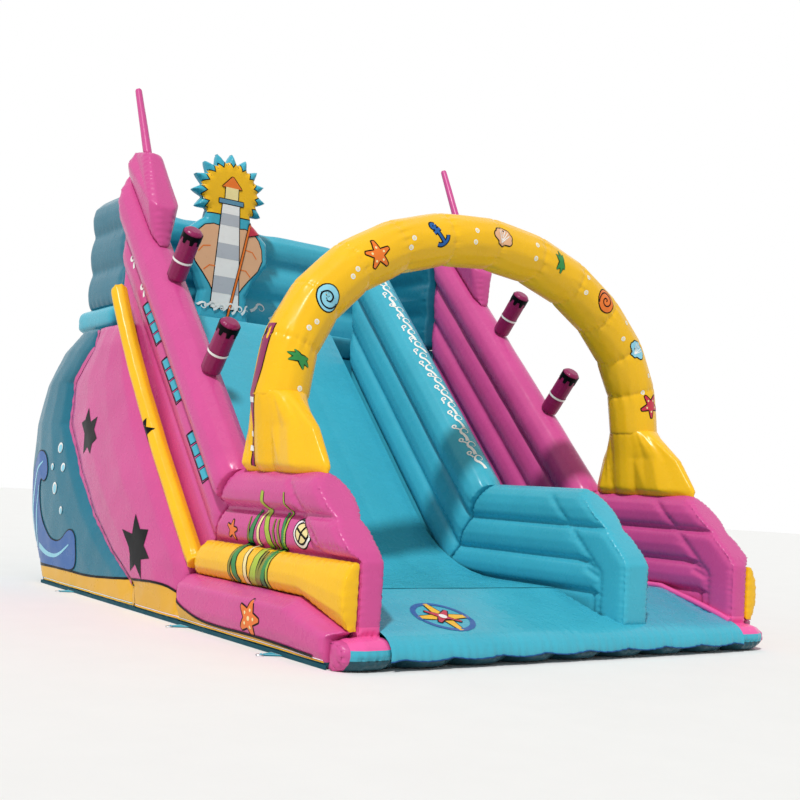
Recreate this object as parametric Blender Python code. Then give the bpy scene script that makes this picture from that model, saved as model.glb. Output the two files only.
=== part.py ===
"""Inflatable water slide with a wide sliding lane, a narrow climbing lane, a top platform and an arch.

Units are metres, +Z is up, +X is to the right seen from the front, and -Y is the front where riders leave.
The origin is the middle of the base's underside, on the ground. Places along the slide are given as
distances behind the base's front edge, and the function station() turns them into Y.
Every air chamber is a shell of coated fabric with an air port in a face that its neighbour hides.
"""

import math

import bmesh
import bpy
from mathutils import Matrix, Vector

# Fabric and fits
SHEET = 0.0015
FIT = 0.0003
PORT_SIZE = 0.16
PORT_RIM = 0.01

# Lanes and walls, across the slide
WALL = 0.32
SLIDE_LANE = 2.52
CLIMB_LANE = 1.14
FLANK = 0.18
WALL_RECESS = 0.095
BASE_HALF = (SLIDE_LANE + CLIMB_LANE + 3 * WALL + 2 * (FLANK - WALL_RECESS)) / 2
SLIDE_LEFT = -BASE_HALF + FLANK - WALL_RECESS + WALL
SLIDE_RIGHT = SLIDE_LEFT + SLIDE_LANE
CLIMB_LEFT = SLIDE_RIGHT + WALL
CLIMB_RIGHT = CLIMB_LEFT + CLIMB_LANE
CORE_HALF = CLIMB_RIGHT + WALL - WALL_RECESS
DIVIDER_MIDDLE = SLIDE_RIGHT + WALL / 2
SIDE_MIDDLE = CLIMB_RIGHT + WALL / 2

# Base and landing
CUSHION_LENGTH = 6.40
BASE_HEIGHT = 0.243
BOLSTER_DEPTH = 0.25
BOLSTER_BULGES = 9
BULGE_DEPTH = 0.07
BULGE_STEPS = 3
BED_THICKNESS = 0.257
BED_TOP = BASE_HEIGHT + BED_THICKNESS
RAMP_START = 0.20
RAMP_LENGTH = 0.75
RAMP_TOE = 0.03

# Landing walls: a front face, a chamfer and three stacked tubes
WALL_SETBACK = 0.142
KNEE_HEIGHT = 0.80
CHAMFER_RUN = 0.63
WALL_HEIGHT = 0.92
GUSSET_DEPTH = 0.30
CREASE_RUN = 0.10
LOBE_STEPS = 4
LOWER_CREASE_SHARE = 0.30
UPPER_CREASE_SHARE = 0.63
CREST_HALF = 0.17
CREASE_HALF = 0.125
CREST_ANGLE = math.radians(78)

# Slope
SLOPE_ANGLE = math.radians(47)
SLOPE_FOOT = 2.63
SLOPE_WALL_HEIGHT = 1.02
TUBE_HALF = 0.215
WALL_END_DEPTH = 0.13
DIVIDER_SETBACK = 0.30  # the divider ends this far short of the platform, so riders can cross at the top
WALL_END_SHARES = (1.0, 0.86, 0.45)
CURVE_RADIUS = 1.90
CURVE_STEPS = 8
COVER = 0.003

# Platform and its enclosure
PLATFORM_HEIGHT = 3.15
PLATFORM_DEPTH = 1.12
ENCLOSURE_HEIGHT = 1.30
ENCLOSURE_LOBES = 3
ENCLOSURE_WALL = 0.32
ENCLOSURE_ROUND = 0.14
ENCLOSURE_TOP_SHARE = 0.98
PLATFORM_BULGE = 0.05

# Rear body: two quarter ellipses about one centre
REAR_CENTRE_SETBACK = 0.169
REAR_CENTRE_HEIGHT = 1.26
REAR_REACH = 1.90
REAR_OVERRUN = 0.067
REAR_FOOT_TUCK = 0.295
REAR_BAND = 0.10
REAR_STEPS = 4
SEAM_FORWARD_SHARES = (1.41, 1.48, 1.28, 1.08, 0.91, 0.85, 0.57, 0.45, 0.50, 0.25)
PANEL_EDGE_SHARE = 0.62
FLANK_BULGE = 0.05
PANEL_SHARES = (0.0, 0.12, 0.35, 0.65, 0.88, 1.0)

# Yellow trim along the flanks, its start and end measured up the slope from the foot
TRIM_RADIUS = 0.09
TRIM_START = 0.08
TRIM_END = 3.38
TRIM_LOW_OFFSET = 0.05
TRIM_HIGH_OFFSET = 0.38
TRIM_SWING = 0.10
TRIM_GAP = 0.016
TRIM_STEPS = 10
TRIM_PANEL_THICKNESS = 0.15
TRIM_PANEL_LOW = 0.46
TRIM_PANEL_FRONT_LOW = 0.27
TRIM_PANEL_RAMP = 0.80
TRIM_LEVEL_SHARES = (0.0, 0.25, 0.5, 0.75, 1.0)
TRIM_CROWN_SHARES = (0.55, 0.92, 1.0, 0.88, 0.45)
LANDING_SHOULDER_SHARE = 0.8

# Towers, masts and funnels
TOWER_RUN = 0.951
TOWER_BACK_GAP = 0.041
TOWER_SHOULDER_RISE = 0.90
TOWER_TOP_RISE = 1.57
TOWER_TOP_RUN = 0.521
TOWER_TOP_LENGTH = 0.34
TOWER_HALF = 0.17
TOWER_TOP_HALF = 0.10
TOWER_FOOT_SHARE = 0.5
TOWER_DEPTH_SHARES = ((0.0, 0.55), (0.12, 1.0), (0.88, 1.0), (1.0, 0.55))
TOWER_TOP_SLANT = 0.06
MAST_RADIUS = 0.048
MAST_TIP_SHARE = 0.8
MAST_LENGTH = 0.92
MAST_LEAN = math.radians(26)
FUNNEL_RADIUS = 0.10
FUNNEL_LENGTH = 0.54
FUNNEL_LEAN = math.radians(40)
FUNNEL_STATIONS = (2.92, 3.83)
FUNNEL_CROWN = 0.02
FUNNEL_LIFT = 0.0128
FUNNEL_RIM_SHARE = 0.33
ROUND_SIDES = 14
SMALL_SIDES = 8

# Arch
ARCH_STATION = 1.60
ARCH_RADIUS = 0.25
ARCH_RISE = 1.64
ARCH_SEGMENTS = 12
LEG_HEIGHT = 0.63
LEG_FRONT_REACH = 0.84
LEG_BACK_REACH = 0.47
LEG_HALF = 0.16
LEG_CREASE = 0.05
LEG_CORE_SHARE = 0.6
LEG_EDGE_SHARE = 0.2
LEG_TIP_SHARE = 0.25
LEG_TAPER_SHARE = 1.6
LEG_LEVEL_SHARES = ((0.0, 1.0, 0.55), (0.06, 1.0, 1.0), (0.55, 0.62, 1.0), (1.0, 0.0, 1.0))

# Cut-out lighthouse panel on the platform
PANEL_INSET = 1.25
PANEL_SETBACK = 0.519
PANEL_HALF_THICKNESS = 0.09
PANEL_RIM_HALF = 0.04
PANEL_HALF_WIDTH = 0.60
PANEL_HEIGHT = 2.09
BURST_POINTS = 11
BURST_START = math.radians(-38)
BURST_INNER_SHARE = 0.72
BURST_CENTRE_SHARE = 0.76
ROCK_HALF_SHARES = (0.60, 0.52, 0.66, 0.95, 0.90, 0.52)
ROCK_HEIGHT_SHARES = (0.0, 0.18, 0.27, 0.38, 0.51, 0.60)
RIM_INSET = 0.05

# Climbing lane
STEP_COUNT = 8
STEP_RADIUS = 0.065
STEP_SIDES = 5
STEP_MARGIN = 0.06
STEP_FIRST = 0.30
STEP_PITCH = 0.42
MAT_THICKNESS = 0.004
STRAP_WIDTH = 0.04
STRAP_THICKNESS = 0.003
STRAP_LENGTH = 0.22
STRAP_LOFT = 0.055
STRAP_STEPS = 8
STRAP_FULLNESS_SHARE = 0.7
STRAP_EVERY = 2

# Anchors
ANCHOR_STATIONS = (0.95, 2.57, 5.40)
TAB_LENGTH = 0.16
TAB_REACH = 0.13
TAB_THICKNESS = 0.004
TAB_TIP = 0.035
HEM_THICKNESS = 0.004
HEM_HEIGHT = 0.035
RING_CLEARANCE = 0.0008
RING_WIRE = 0.004
RING_HALF = 0.028
RING_ARM_GAP = 0.003
RING_REACH = 0.045
RING_STEPS = 8
RING_SIDES = 6

# Deflation zip
ZIP_LENGTH = 0.90
ZIP_WIDTH = 0.05
ZIP_THICKNESS = 0.004
ZIP_INSET = 0.79
SLIDER_LENGTH = 0.030
SLIDER_WIDTH = 0.020
SLIDER_THICKNESS = 0.010
SLIDER_CROWN_SHARE = 0.8
SLIDER_END_GAP = 0.02

# Blower and its sleeve
BLOWER_OFFSET = 0.02
BLOWER_GAP = 0.68
SLEEVE_RADIUS = 0.110
SLEEVE_ENTRY_HEIGHT = 0.575
SLEEVE_NECK_RADIUS = 0.136
HOUSING_RADIUS = 0.25
HOUSING_WIDTH = 0.26
HOUSING_WALL = 0.005
HOUSING_SIDES = 28
HOUSING_AXIS_HEIGHT = 0.32
INLET_RADIUS = 0.13
NOZZLE_LENGTH = 0.16
NOZZLE_HALF = 0.115
IMPELLER_RADIUS = 0.19
IMPELLER_WIDTH = 0.12
IMPELLER_PLATE = 0.004
IMPELLER_BACK_GAP = 0.012
HUB_RADIUS = 0.03
SHAFT_RADIUS = 0.010
SHAFT_CLEARANCE = 0.0008
SHAFT_OPENING = 0.042
BLADE_COUNT = 10
BLADE_THICKNESS = 0.003
BLADE_DEPTH = 0.06
MOTOR_RADIUS = 0.085
MOTOR_LENGTH = 0.17
MOTOR_FLANGE = 0.008
GRILLE_RINGS = 3
GRILLE_SIDES = 12
GRILLE_WIRE = 0.003
GRILLE_SPOKES = 6
FOOT_PLATE = 0.006
FOOT_HEIGHT = 0.022
FOOT_SPREAD = 0.20
FOOT_INSET_SHARE = 0.4
SWITCH_LENGTH = 0.030
SWITCH_WIDTH = 0.016
SWITCH_HEIGHT = 0.014
SWITCH_BOX = 0.060
SWITCH_BOX_HEIGHT = 0.030
SWITCH_DISH_SHARE = 0.7
SWITCH_SIDE_SHARES = (0.9, 0.3)

# Inner baffles
BASE_BAFFLES = 7
CORE_BAFFLES = 3
BAFFLE_END_GAP = 0.25

SLOPE_SIN = math.sin(SLOPE_ANGLE)
SLOPE_COS = math.cos(SLOPE_ANGLE)
SLOPE_TAN = math.tan(SLOPE_ANGLE)
MITRE_TAN = math.tan(SLOPE_ANGLE / 2)
PLATFORM_EDGE = SLOPE_FOOT + (PLATFORM_HEIGHT - BED_TOP) / SLOPE_TAN
PLATFORM_BACK = PLATFORM_EDGE + PLATFORM_DEPTH
WALL_TOP = BED_TOP + WALL_HEIGHT
REAR_CENTRE = PLATFORM_EDGE + REAR_CENTRE_SETBACK
REAR_RISE = PLATFORM_HEIGHT - BED_THICKNESS - REAR_CENTRE_HEIGHT + REAR_OVERRUN
REAR_DROP = REAR_CENTRE_HEIGHT + REAR_FOOT_TUCK
TOWER_FRONT = PLATFORM_EDGE - TOWER_RUN
TOWER_BACK = PLATFORM_EDGE - TOWER_BACK_GAP
TOWER_SHOULDER_HEIGHT = PLATFORM_HEIGHT + TOWER_SHOULDER_RISE
TOWER_TOP_HEIGHT = PLATFORM_HEIGHT + TOWER_TOP_RISE
TOWER_TOP_FRONT = PLATFORM_EDGE - TOWER_TOP_RUN
PANEL_MIDDLE = SLIDE_LEFT + PANEL_INSET
PANEL_STATION = PLATFORM_EDGE + PANEL_SETBACK
ZIP_MIDDLE = SLIDE_LEFT + ZIP_INSET
BLOWER_X = SLIDE_RIGHT + BLOWER_OFFSET
BLOWER_STATION = REAR_CENTRE + REAR_REACH + BLOWER_GAP

TARPAULIN = {
    "teal": (0.035, 0.47, 0.58),
    "dark_teal": (0.012, 0.21, 0.27),
    "pink": (0.68, 0.09, 0.33),
    "yellow": (0.92, 0.54, 0.015),
    "magenta": (0.27, 0.012, 0.095),
    "red": (0.62, 0.06, 0.05),
    "blue": (0.012, 0.11, 0.39),
    "peach": (0.76, 0.44, 0.28),
    "white": (0.80, 0.80, 0.78),
}
METAL = {
    "zinc": (0.55, 0.56, 0.58),
    "steel": (0.30, 0.31, 0.33),
}
PLASTIC = {
    "black": (0.02, 0.02, 0.022),
    "orange": (0.80, 0.22, 0.02),
}


def station(distance):
    """Y of a place that lies this far behind the base's front edge."""
    return distance - CUSHION_LENGTH / 2


def finish_for(colour):
    """A Principled material for one of the named colours."""
    made = bpy.data.materials.get(colour)
    if made:
        return made
    made = bpy.data.materials.new(colour)
    made.use_nodes = True
    shader = made.node_tree.nodes["Principled BSDF"]
    groups = ((TARPAULIN, 0.35, 0.0), (METAL, 0.35, 1.0), (PLASTIC, 0.5, 0.0))
    for colours, roughness, metallic in groups:
        if colour in colours:
            shader.inputs["Base Color"].default_value = (*colours[colour], 1.0)
            shader.inputs["Roughness"].default_value = roughness
            shader.inputs["Metallic"].default_value = metallic
    return made


def own_finish(name, colour):
    """A material of the sub-part's own, copied from the named colour."""
    made = finish_for(colour).copy()
    made.name = f"{name}_{colour}"
    return made


def place(name, mesh_data, colour, smooth=True):
    """An object for one sub-part, with its own material."""
    mesh = bpy.data.meshes.new(name)
    bmesh.ops.recalc_face_normals(mesh_data, faces=mesh_data.faces)
    mesh_data.to_mesh(mesh)
    mesh_data.free()
    made = bpy.data.objects.new(name, mesh)
    bpy.context.scene.collection.objects.link(made)
    mesh.materials.append(own_finish(name, colour))
    if smooth:
        mesh.shade_smooth()
        mesh.set_sharp_from_angle(angle=math.radians(40))
    return made


def loft(loops, mesh_data=None):
    """A closed body through loops of equal count, each end closed by rungs between the loop's halves."""
    mesh_data = mesh_data or bmesh.new()
    rings = [[mesh_data.verts.new(point) for point in loop] for loop in loops]
    count = len(rings[0])
    for ring, following in zip(rings, rings[1:]):
        for index in range(count):
            after = (index + 1) % count
            mesh_data.faces.new((ring[index], ring[after], following[after], following[index]))
    for ring in (rings[0], rings[-1]):
        for index in range(count // 2 - 1):
            mirror = count - 1 - index
            mesh_data.faces.new((ring[index], ring[index + 1], ring[mirror - 1], ring[mirror]))
    return mesh_data


def chamber(name, mesh_data, colour, port_at, sheet=SHEET):
    """A shell of sheet from a closed body, with an air port in the face nearest to port_at."""
    bmesh.ops.recalc_face_normals(mesh_data, faces=mesh_data.faces)
    target = Vector(port_at)
    face = min(mesh_data.faces, key=lambda each: (each.calc_center_median() - target).length)
    bmesh.ops.inset_individual(mesh_data, faces=[face], thickness=PORT_RIM, use_even_offset=True)
    middle = face.calc_center_median()
    widest = max((vert.co - middle).length for vert in face.verts)
    share = min(1.0, PORT_SIZE / widest)
    for vert in face.verts:
        vert.co = middle + (vert.co - middle) * share
    bmesh.ops.delete(mesh_data, geom=[face], context="FACES_ONLY")
    mesh = bpy.data.meshes.new(name)
    mesh_data.to_mesh(mesh)
    mesh_data.free()
    made = bpy.data.objects.new(name, mesh)
    bpy.context.scene.collection.objects.link(made)
    mesh.materials.append(own_finish(name, colour))
    mesh.shade_smooth()
    mesh.set_sharp_from_angle(angle=math.radians(50))
    shell = made.modifiers.new("sheet", "SOLIDIFY")
    shell.thickness = sheet
    shell.offset = -1.0
    return made


def slab_loops(x_places, top, bottom):
    """Loops for a body of constant side view, from equal lists of (station, height) above and below."""
    return [
        [Vector((x, station(y), z)) for y, z in [*top, *reversed(bottom)]]
        for x in x_places
    ]


def box_data(low, high, mesh_data=None):
    """A box between two corners."""
    mesh_data = mesh_data or bmesh.new()
    size = [high[axis] - low[axis] for axis in range(3)]
    middle = [(high[axis] + low[axis]) / 2 for axis in range(3)]
    bmesh.ops.create_cube(
        mesh_data, size=1.0, matrix=Matrix.Translation(middle) @ Matrix.Diagonal((*size, 1.0))
    )
    return mesh_data


def rod_data(start, end, radius, sides, mesh_data=None, end_radius=None):
    """A round rod between two points, tapered where end_radius is given."""
    mesh_data = mesh_data or bmesh.new()
    start, end = Vector(start), Vector(end)
    turn = (end - start).to_track_quat("Z", "Y").to_matrix().to_4x4()
    bmesh.ops.create_cone(
        mesh_data,
        cap_ends=True,
        segments=sides,
        radius1=radius,
        radius2=radius if end_radius is None else end_radius,
        depth=(end - start).length,
        matrix=Matrix.Translation((start + end) / 2) @ turn,
    )
    return mesh_data


def slope_point(along, above):
    """(station, height) of a point on the slope, from the foot along the bed and square above the bed."""
    return (
        SLOPE_FOOT + along * SLOPE_COS - above * SLOPE_SIN,
        BED_TOP + along * SLOPE_SIN + above * SLOPE_COS,
    )


def kink_point(landing_above, slope_above):
    """Where a line at this height over the landing bed meets one at this height over the slope bed."""
    y = SLOPE_FOOT + (landing_above * SLOPE_COS - slope_above) / SLOPE_SIN
    return y, BED_TOP + landing_above


def platform_end_point(slope_above):
    """Where a line at this height over the slope bed reaches the platform's edge."""
    return PLATFORM_EDGE, PLATFORM_HEIGHT + slope_above / SLOPE_COS


def lobe_rows(wall_height, tube_half):
    """Rows up a wall: (height over the bed, half thickness, tube number), creases included."""
    lower = wall_height * LOWER_CREASE_SHARE
    upper = wall_height * UPPER_CREASE_SHARE
    rows = [(-BED_THICKNESS, CREASE_HALF, 0), (0.0, CREASE_HALF, 0)]
    for number, (low, high) in enumerate(((0.0, lower), (lower, upper))):
        for step in range(1, LOBE_STEPS + 1):
            share = step / LOBE_STEPS
            half = CREASE_HALF + (CREST_HALF - CREASE_HALF) * math.sin(math.pi * share)
            rows.append((low + (high - low) * share, half, number))
    crease_angle = -math.acos(min(1.0, CREASE_HALF / tube_half))
    reach = math.sin(CREST_ANGLE) - math.sin(crease_angle)
    for step in range(1, LOBE_STEPS + 2):
        angle = crease_angle + (CREST_ANGLE - crease_angle) * step / (LOBE_STEPS + 1)
        share = (math.sin(angle) - math.sin(crease_angle)) / reach
        rows.append((upper + (wall_height - upper) * share, tube_half * math.cos(angle), 2))
    return rows


def outer_half(half, number, recessed):
    """Half thickness on a side wall's outer face, which is drawn in behind the trim."""
    if not recessed or number == 2:
        return half
    flat = WALL / 2 - WALL_RECESS
    return flat if number == 0 else min(half, flat + (half - CREASE_HALF) + FIT)


def wall_loop(points, halves_left, halves_right, middle):
    """One loop round a wall: up its left face and down its right face."""
    left = [Vector((middle - half, station(y), z)) for (y, z), half in zip(points, halves_left)]
    right = [Vector((middle + half, station(y), z)) for (y, z), half in zip(points, halves_right)]
    return left + right[::-1]


def front_outline(above, inset):
    """A point of the landing wall's front outline, or of a line set back from it."""
    lean = math.atan2(WALL_TOP - KNEE_HEIGHT, CHAMFER_RUN)
    z = BED_TOP + above
    knee = KNEE_HEIGHT - inset * (1 - math.cos(lean)) / math.sin(lean)
    y = WALL_SETBACK + inset
    if z > knee:
        y += (z - knee) / math.tan(lean)
    return y, z


def landing_wall(name, middle, side, colour):
    """The three stacked tubes beside the landing, with the chamfered front end. side is -1, 0 or 1."""
    rows = lobe_rows(WALL_HEIGHT, CREST_HALF)
    slope_rows = lobe_rows(SLOPE_WALL_HEIGHT, TUBE_HALF)
    smooth_half = [WALL / 2 if above < WALL_HEIGHT * UPPER_CREASE_SHARE else half for above, half, _ in rows]
    lobed = [half for _, half, _ in rows]
    trimmed = [outer_half(half, number, side != 0) for _, half, number in rows]
    trimmed_smooth = [
        min(smooth, WALL / 2 - WALL_RECESS) if side and number < 1 else smooth
        for smooth, (_, _, number) in zip(smooth_half, rows)
    ]
    kink = [kink_point(row[0], slope_row[0]) for row, slope_row in zip(rows, slope_rows)]
    kink = [(y - 2 * FIT, z) for y, z in kink]
    columns = (
        ([front_outline(row[0], 0.0) for row in rows], smooth_half, trimmed_smooth),
        ([front_outline(row[0], GUSSET_DEPTH) for row in rows], smooth_half, trimmed_smooth),
        ([front_outline(row[0], GUSSET_DEPTH + CREASE_RUN) for row in rows], lobed, trimmed),
        (kink, lobed, trimmed),
    )
    loops = []
    for points, inner, outer in columns:
        left, right = (outer, inner) if side < 0 else (inner, outer)
        loops.append(wall_loop(points, left, right, middle))
    return chamber(name, loft(loops), colour, (middle, station(SLOPE_FOOT / 2), BASE_HEIGHT))


def slope_wall(name, middle, side, colour):
    """The three stacked tubes beside the slope, up to the platform's edge."""
    rows = lobe_rows(SLOPE_WALL_HEIGHT, TUBE_HALF)
    landing_rows = lobe_rows(WALL_HEIGHT, CREST_HALF)
    inner = [half for _, half, _ in rows]
    outer = [outer_half(half, number, side != 0) for _, half, number in rows]
    left, right = (outer, inner) if side < 0 else (inner, outer)
    foot = [kink_point(landing[0], row[0]) for landing, row in zip(landing_rows, rows)]
    top = [platform_end_point(row[0]) for row in rows]
    loops = [wall_loop(foot, left, right, middle)]
    setback = FIT if side else FIT + DIVIDER_SETBACK
    for fullness in WALL_END_SHARES:
        drawn_in = setback + WALL_END_DEPTH * math.sqrt(max(0.0, fullness - WALL_END_SHARES[-1]))
        points = [(y - drawn_in, z - drawn_in * SLOPE_TAN) for y, z in top]
        loops.append(
            wall_loop(points, [half * fullness for half in left], [half * fullness for half in right], middle)
        )
    port = slope_point((PLATFORM_EDGE - SLOPE_FOOT) / SLOPE_COS / 2, -BED_THICKNESS)
    return chamber(name, loft(loops), colour, (middle, station(port[0]), port[1]))


def base_and_bolster():
    """The air mattress under everything, and the quilted roll along its front edge."""
    top = ((BOLSTER_DEPTH, BASE_HEIGHT - FIT), (CUSHION_LENGTH, BASE_HEIGHT - FIT))
    bottom = ((BOLSTER_DEPTH, 0.0), (CUSHION_LENGTH, 0.0))
    half = CORE_HALF
    chamber(
        "base_cushion",
        loft(slab_loops((-half, half), top, bottom)),
        "blue",
        (0.0, station(CUSHION_LENGTH), BASE_HEIGHT / 2),
    )
    loops = []
    steps = BOLSTER_BULGES * BULGE_STEPS
    for index in range(steps + 1):
        x = -BASE_HALF + 2 * BASE_HALF * index / steps
        swell = math.sqrt(abs(math.sin(math.pi * index / BULGE_STEPS)))
        front = BULGE_DEPTH * (1 - swell)
        rise = (BASE_HEIGHT - FIT) / 2
        back = BOLSTER_DEPTH - FIT
        upper, lower = [], []
        for step in range(BULGE_STEPS + 1):
            angle = math.pi / 2 * step / BULGE_STEPS
            y = front + rise * (1 - math.cos(angle))
            high = rise + (rise - front / 2) * math.sin(angle)
            upper.append((y, high))
            lower.append((y, 2 * rise - high if step < BULGE_STEPS else 0.0))
        upper.append((back, upper[-1][1]))
        lower.append((back, 0.0))
        loops += slab_loops((x,), upper, lower)
    chamber("front_bolster", loft(loops), "dark_teal", (0.0, station(BOLSTER_DEPTH), BASE_HEIGHT / 2))


def beds():
    """The landing, slope and platform beds between the walls, and the wedge that rounds the slide's foot."""
    lanes = (("slide", SLIDE_LEFT, SLIDE_RIGHT), ("climb", CLIMB_LEFT, CLIMB_RIGHT))
    swell = CREST_HALF - WALL / 2
    foot_above = kink_point(0.0, 0.0)
    foot_below = kink_point(-BED_THICKNESS + FIT, -BED_THICKNESS + FIT)
    edge_above = (PLATFORM_EDGE, PLATFORM_HEIGHT)
    edge_below = (
        PLATFORM_EDGE + (BED_THICKNESS - FIT) * MITRE_TAN,
        PLATFORM_HEIGHT - BED_THICKNESS + FIT,
    )
    for lane, left, right in lanes:
        sides = (left + swell + FIT, right - swell - FIT)
        top = (
            (RAMP_START, BASE_HEIGHT + RAMP_TOE),
            (RAMP_START + RAMP_LENGTH, BED_TOP),
            (foot_above[0] - 2 * FIT, foot_above[1]),
        )
        bottom = (
            (RAMP_START, BASE_HEIGHT),
            (RAMP_START + RAMP_LENGTH, BASE_HEIGHT),
            (foot_below[0] - 2 * FIT, BASE_HEIGHT),
        )
        middle = (left + right) / 2
        chamber(
            f"{lane}_landing_bed",
            loft(slab_loops(sides, top, bottom)),
            "teal",
            (middle, station(SLOPE_FOOT), BASE_HEIGHT),
        )
        top = (foot_above, (edge_above[0] - FIT, edge_above[1]))
        bottom = (foot_below, (edge_below[0] - FIT, edge_below[1]))
        chamber(
            f"{lane}_slope_bed",
            loft(slab_loops(sides, top, bottom)),
            "teal",
            (middle, station((foot_below[0] + edge_below[0]) / 2), (foot_below[1] + edge_below[1]) / 2),
        )
    top = (edge_above, (PLATFORM_BACK, PLATFORM_HEIGHT))
    bottom = (edge_below, (PLATFORM_BACK, edge_below[1]))
    round_top = [(y + PLATFORM_BULGE - FIT, z - PLATFORM_BULGE) for y, z in top]
    round_bottom = [(y, z + PLATFORM_BULGE) for y, z in bottom]
    round_top[1] = (PLATFORM_BACK, round_top[1][1])
    platform_port = (0.0, station((edge_below[0] + PLATFORM_BACK) / 2), edge_below[1])
    side_loops = [
        slab_loops((side * (CORE_HALF + PLATFORM_BULGE),), round_top, round_bottom)[0] for side in (-1, 1)
    ]
    flat_loops = slab_loops((-CORE_HALF, CORE_HALF), top, bottom)
    chamber("platform_bed", loft([side_loops[0], *flat_loops, side_loops[1]]), "teal", platform_port)


def curve_points(above):
    """Points of the slide's rounded foot, from the landing to the slope, at a height over its surface."""
    tangent = CURVE_RADIUS * MITRE_TAN
    radius = CURVE_RADIUS - above
    centre = (SLOPE_FOOT - tangent, BED_TOP + CURVE_RADIUS)
    return [
        (
            centre[0] + radius * math.sin(SLOPE_ANGLE * step / CURVE_STEPS),
            centre[1] - radius * math.cos(SLOPE_ANGLE * step / CURVE_STEPS),
        )
        for step in range(CURVE_STEPS + 1)
    ]


def slide_surface():
    """The wedge under the slide's rounded foot and the cover sheet stretched over the whole lane."""
    swell = CREST_HALF - WALL / 2
    sides = (SLIDE_LEFT + swell + FIT, SLIDE_RIGHT - swell - FIT)
    upper = curve_points(0.0)
    tangent = CURVE_RADIUS * MITRE_TAN
    half_steps = CURVE_STEPS // 2
    lower = []
    for step in range(CURVE_STEPS + 1):
        share = step / half_steps - 1
        if share <= 0:
            lower.append((SLOPE_FOOT + tangent * share, BED_TOP + FIT))
        else:
            lower.append(slope_point(tangent * share, FIT))
    lower[half_steps] = kink_point(FIT, FIT)
    middle = (SLIDE_LEFT + SLIDE_RIGHT) / 2
    port_at = (middle, station(lower[half_steps - 1][0]), BED_TOP)
    chamber(
        "slide_curve_wedge",
        loft(slab_loops(sides, upper[1:-1], lower[1:-1])),
        "teal",
        port_at,
    )
    start = (RAMP_START + RAMP_LENGTH, BED_TOP + FIT)
    path = [start] + curve_points(FIT) + [slope_point((PLATFORM_EDGE - SLOPE_FOOT) / SLOPE_COS, FIT)]
    over = [(start[0], start[1] + COVER)] + curve_points(FIT + COVER)
    over.append(slope_point((PLATFORM_EDGE - SLOPE_FOOT) / SLOPE_COS, FIT + COVER))
    place("slide_cover", loft(slab_loops(sides, over, path)), "teal")


def rear_points(inset=0.0, floor=0.0, ceiling=None):
    """The rear body's outline from the floor up: a quarter ellipse, an upright band, a quarter ellipse."""
    reach = REAR_REACH - inset
    drop = REAR_DROP - REAR_BAND / 2 - inset
    rise = REAR_RISE - REAR_BAND / 2 - inset
    band_low, band_high = REAR_CENTRE_HEIGHT - REAR_BAND / 2, REAR_CENTRE_HEIGHT + REAR_BAND / 2
    low = math.asin((band_low - floor) / drop)
    top = math.pi / 2 if ceiling is None else math.asin((ceiling - band_high) / rise)
    points = []
    for step in range(REAR_STEPS + 1):
        angle = low * (1 - step / REAR_STEPS)
        points.append((REAR_CENTRE + reach * math.cos(angle), band_low - drop * math.sin(angle)))
    for step in range(REAR_STEPS + 1):
        angle = top * step / REAR_STEPS
        points.append((REAR_CENTRE + reach * math.cos(angle), band_high + rise * math.sin(angle)))
    return points


def core_outline(inset):
    """Front line and rear line of the rear body, as lists of equal count from bottom to top."""
    below = -BED_THICKNESS - FIT - inset
    foot = kink_point(below, below)
    floor = BASE_HEIGHT + FIT + inset
    ceiling = PLATFORM_HEIGHT - BED_THICKNESS - FIT - inset
    rear = rear_points(inset, floor, ceiling)
    front = [(foot[0] + (z - foot[1]) / SLOPE_TAN, z) for _, z in rear]
    return front, rear


def across_at(line, height):
    """Station of a rising line at a height, or of its nearest end."""
    if height <= line[0][1]:
        return line[0][0]
    for (low_y, low_z), (high_y, high_z) in zip(line, line[1:]):
        if height <= high_z:
            return low_y + (high_y - low_y) * (height - low_z) / (high_z - low_z)
    return line[-1][0]


def rear_body():
    """The big chamber under the slope and the platform, which carries them."""
    front, rear = core_outline(0.0)
    chamber(
        "rear_body",
        loft(slab_loops((-CORE_HALF, CORE_HALF), front, rear)),
        "dark_teal",
        (0.0, station((front[0][0] + rear[0][0]) / 2), BASE_HEIGHT),
    )


def baffles():
    """The sheets inside the mattress and the rear body that hold their faces apart."""
    margin = SHEET + FIT
    top = BASE_HEIGHT - FIT - margin
    sheets = bmesh.new()
    for index in range(BASE_BAFFLES):
        x = -CORE_HALF + 2 * CORE_HALF * (index + 1) / (BASE_BAFFLES + 1)
        low = (x - SHEET / 2, station(BOLSTER_DEPTH + BAFFLE_END_GAP), margin)
        box_data(low, (x + SHEET / 2, station(CUSHION_LENGTH - BAFFLE_END_GAP), top), sheets)
    across = CORE_HALF - BAFFLE_END_GAP
    crossing = box_data(
        (-across, station(CUSHION_LENGTH / 2), 2 * margin),
        (across, station(CUSHION_LENGTH / 2) + SHEET, top - margin),
    )
    made = place("base_baffles", crossing, "white", smooth=False)
    unite(made, sheets, "base_sheets_guide")
    sheets = bmesh.new()
    front, rear = core_outline(margin + FIT)
    for index in range(CORE_BAFFLES):
        x = -CORE_HALF + 2 * CORE_HALF * (index + 1) / (CORE_BAFFLES + 1)
        loft(slab_loops((x - SHEET / 2, x + SHEET / 2), front, rear), sheets)
    crossing = box_data(
        (-across, station(REAR_CENTRE), BASE_HEIGHT + BAFFLE_END_GAP),
        (across, station(REAR_CENTRE) + SHEET, PLATFORM_HEIGHT - BED_THICKNESS - BAFFLE_END_GAP),
    )
    made = place("body_baffles", crossing, "white", smooth=False)
    unite(made, sheets, "body_sheets_guide")


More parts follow.
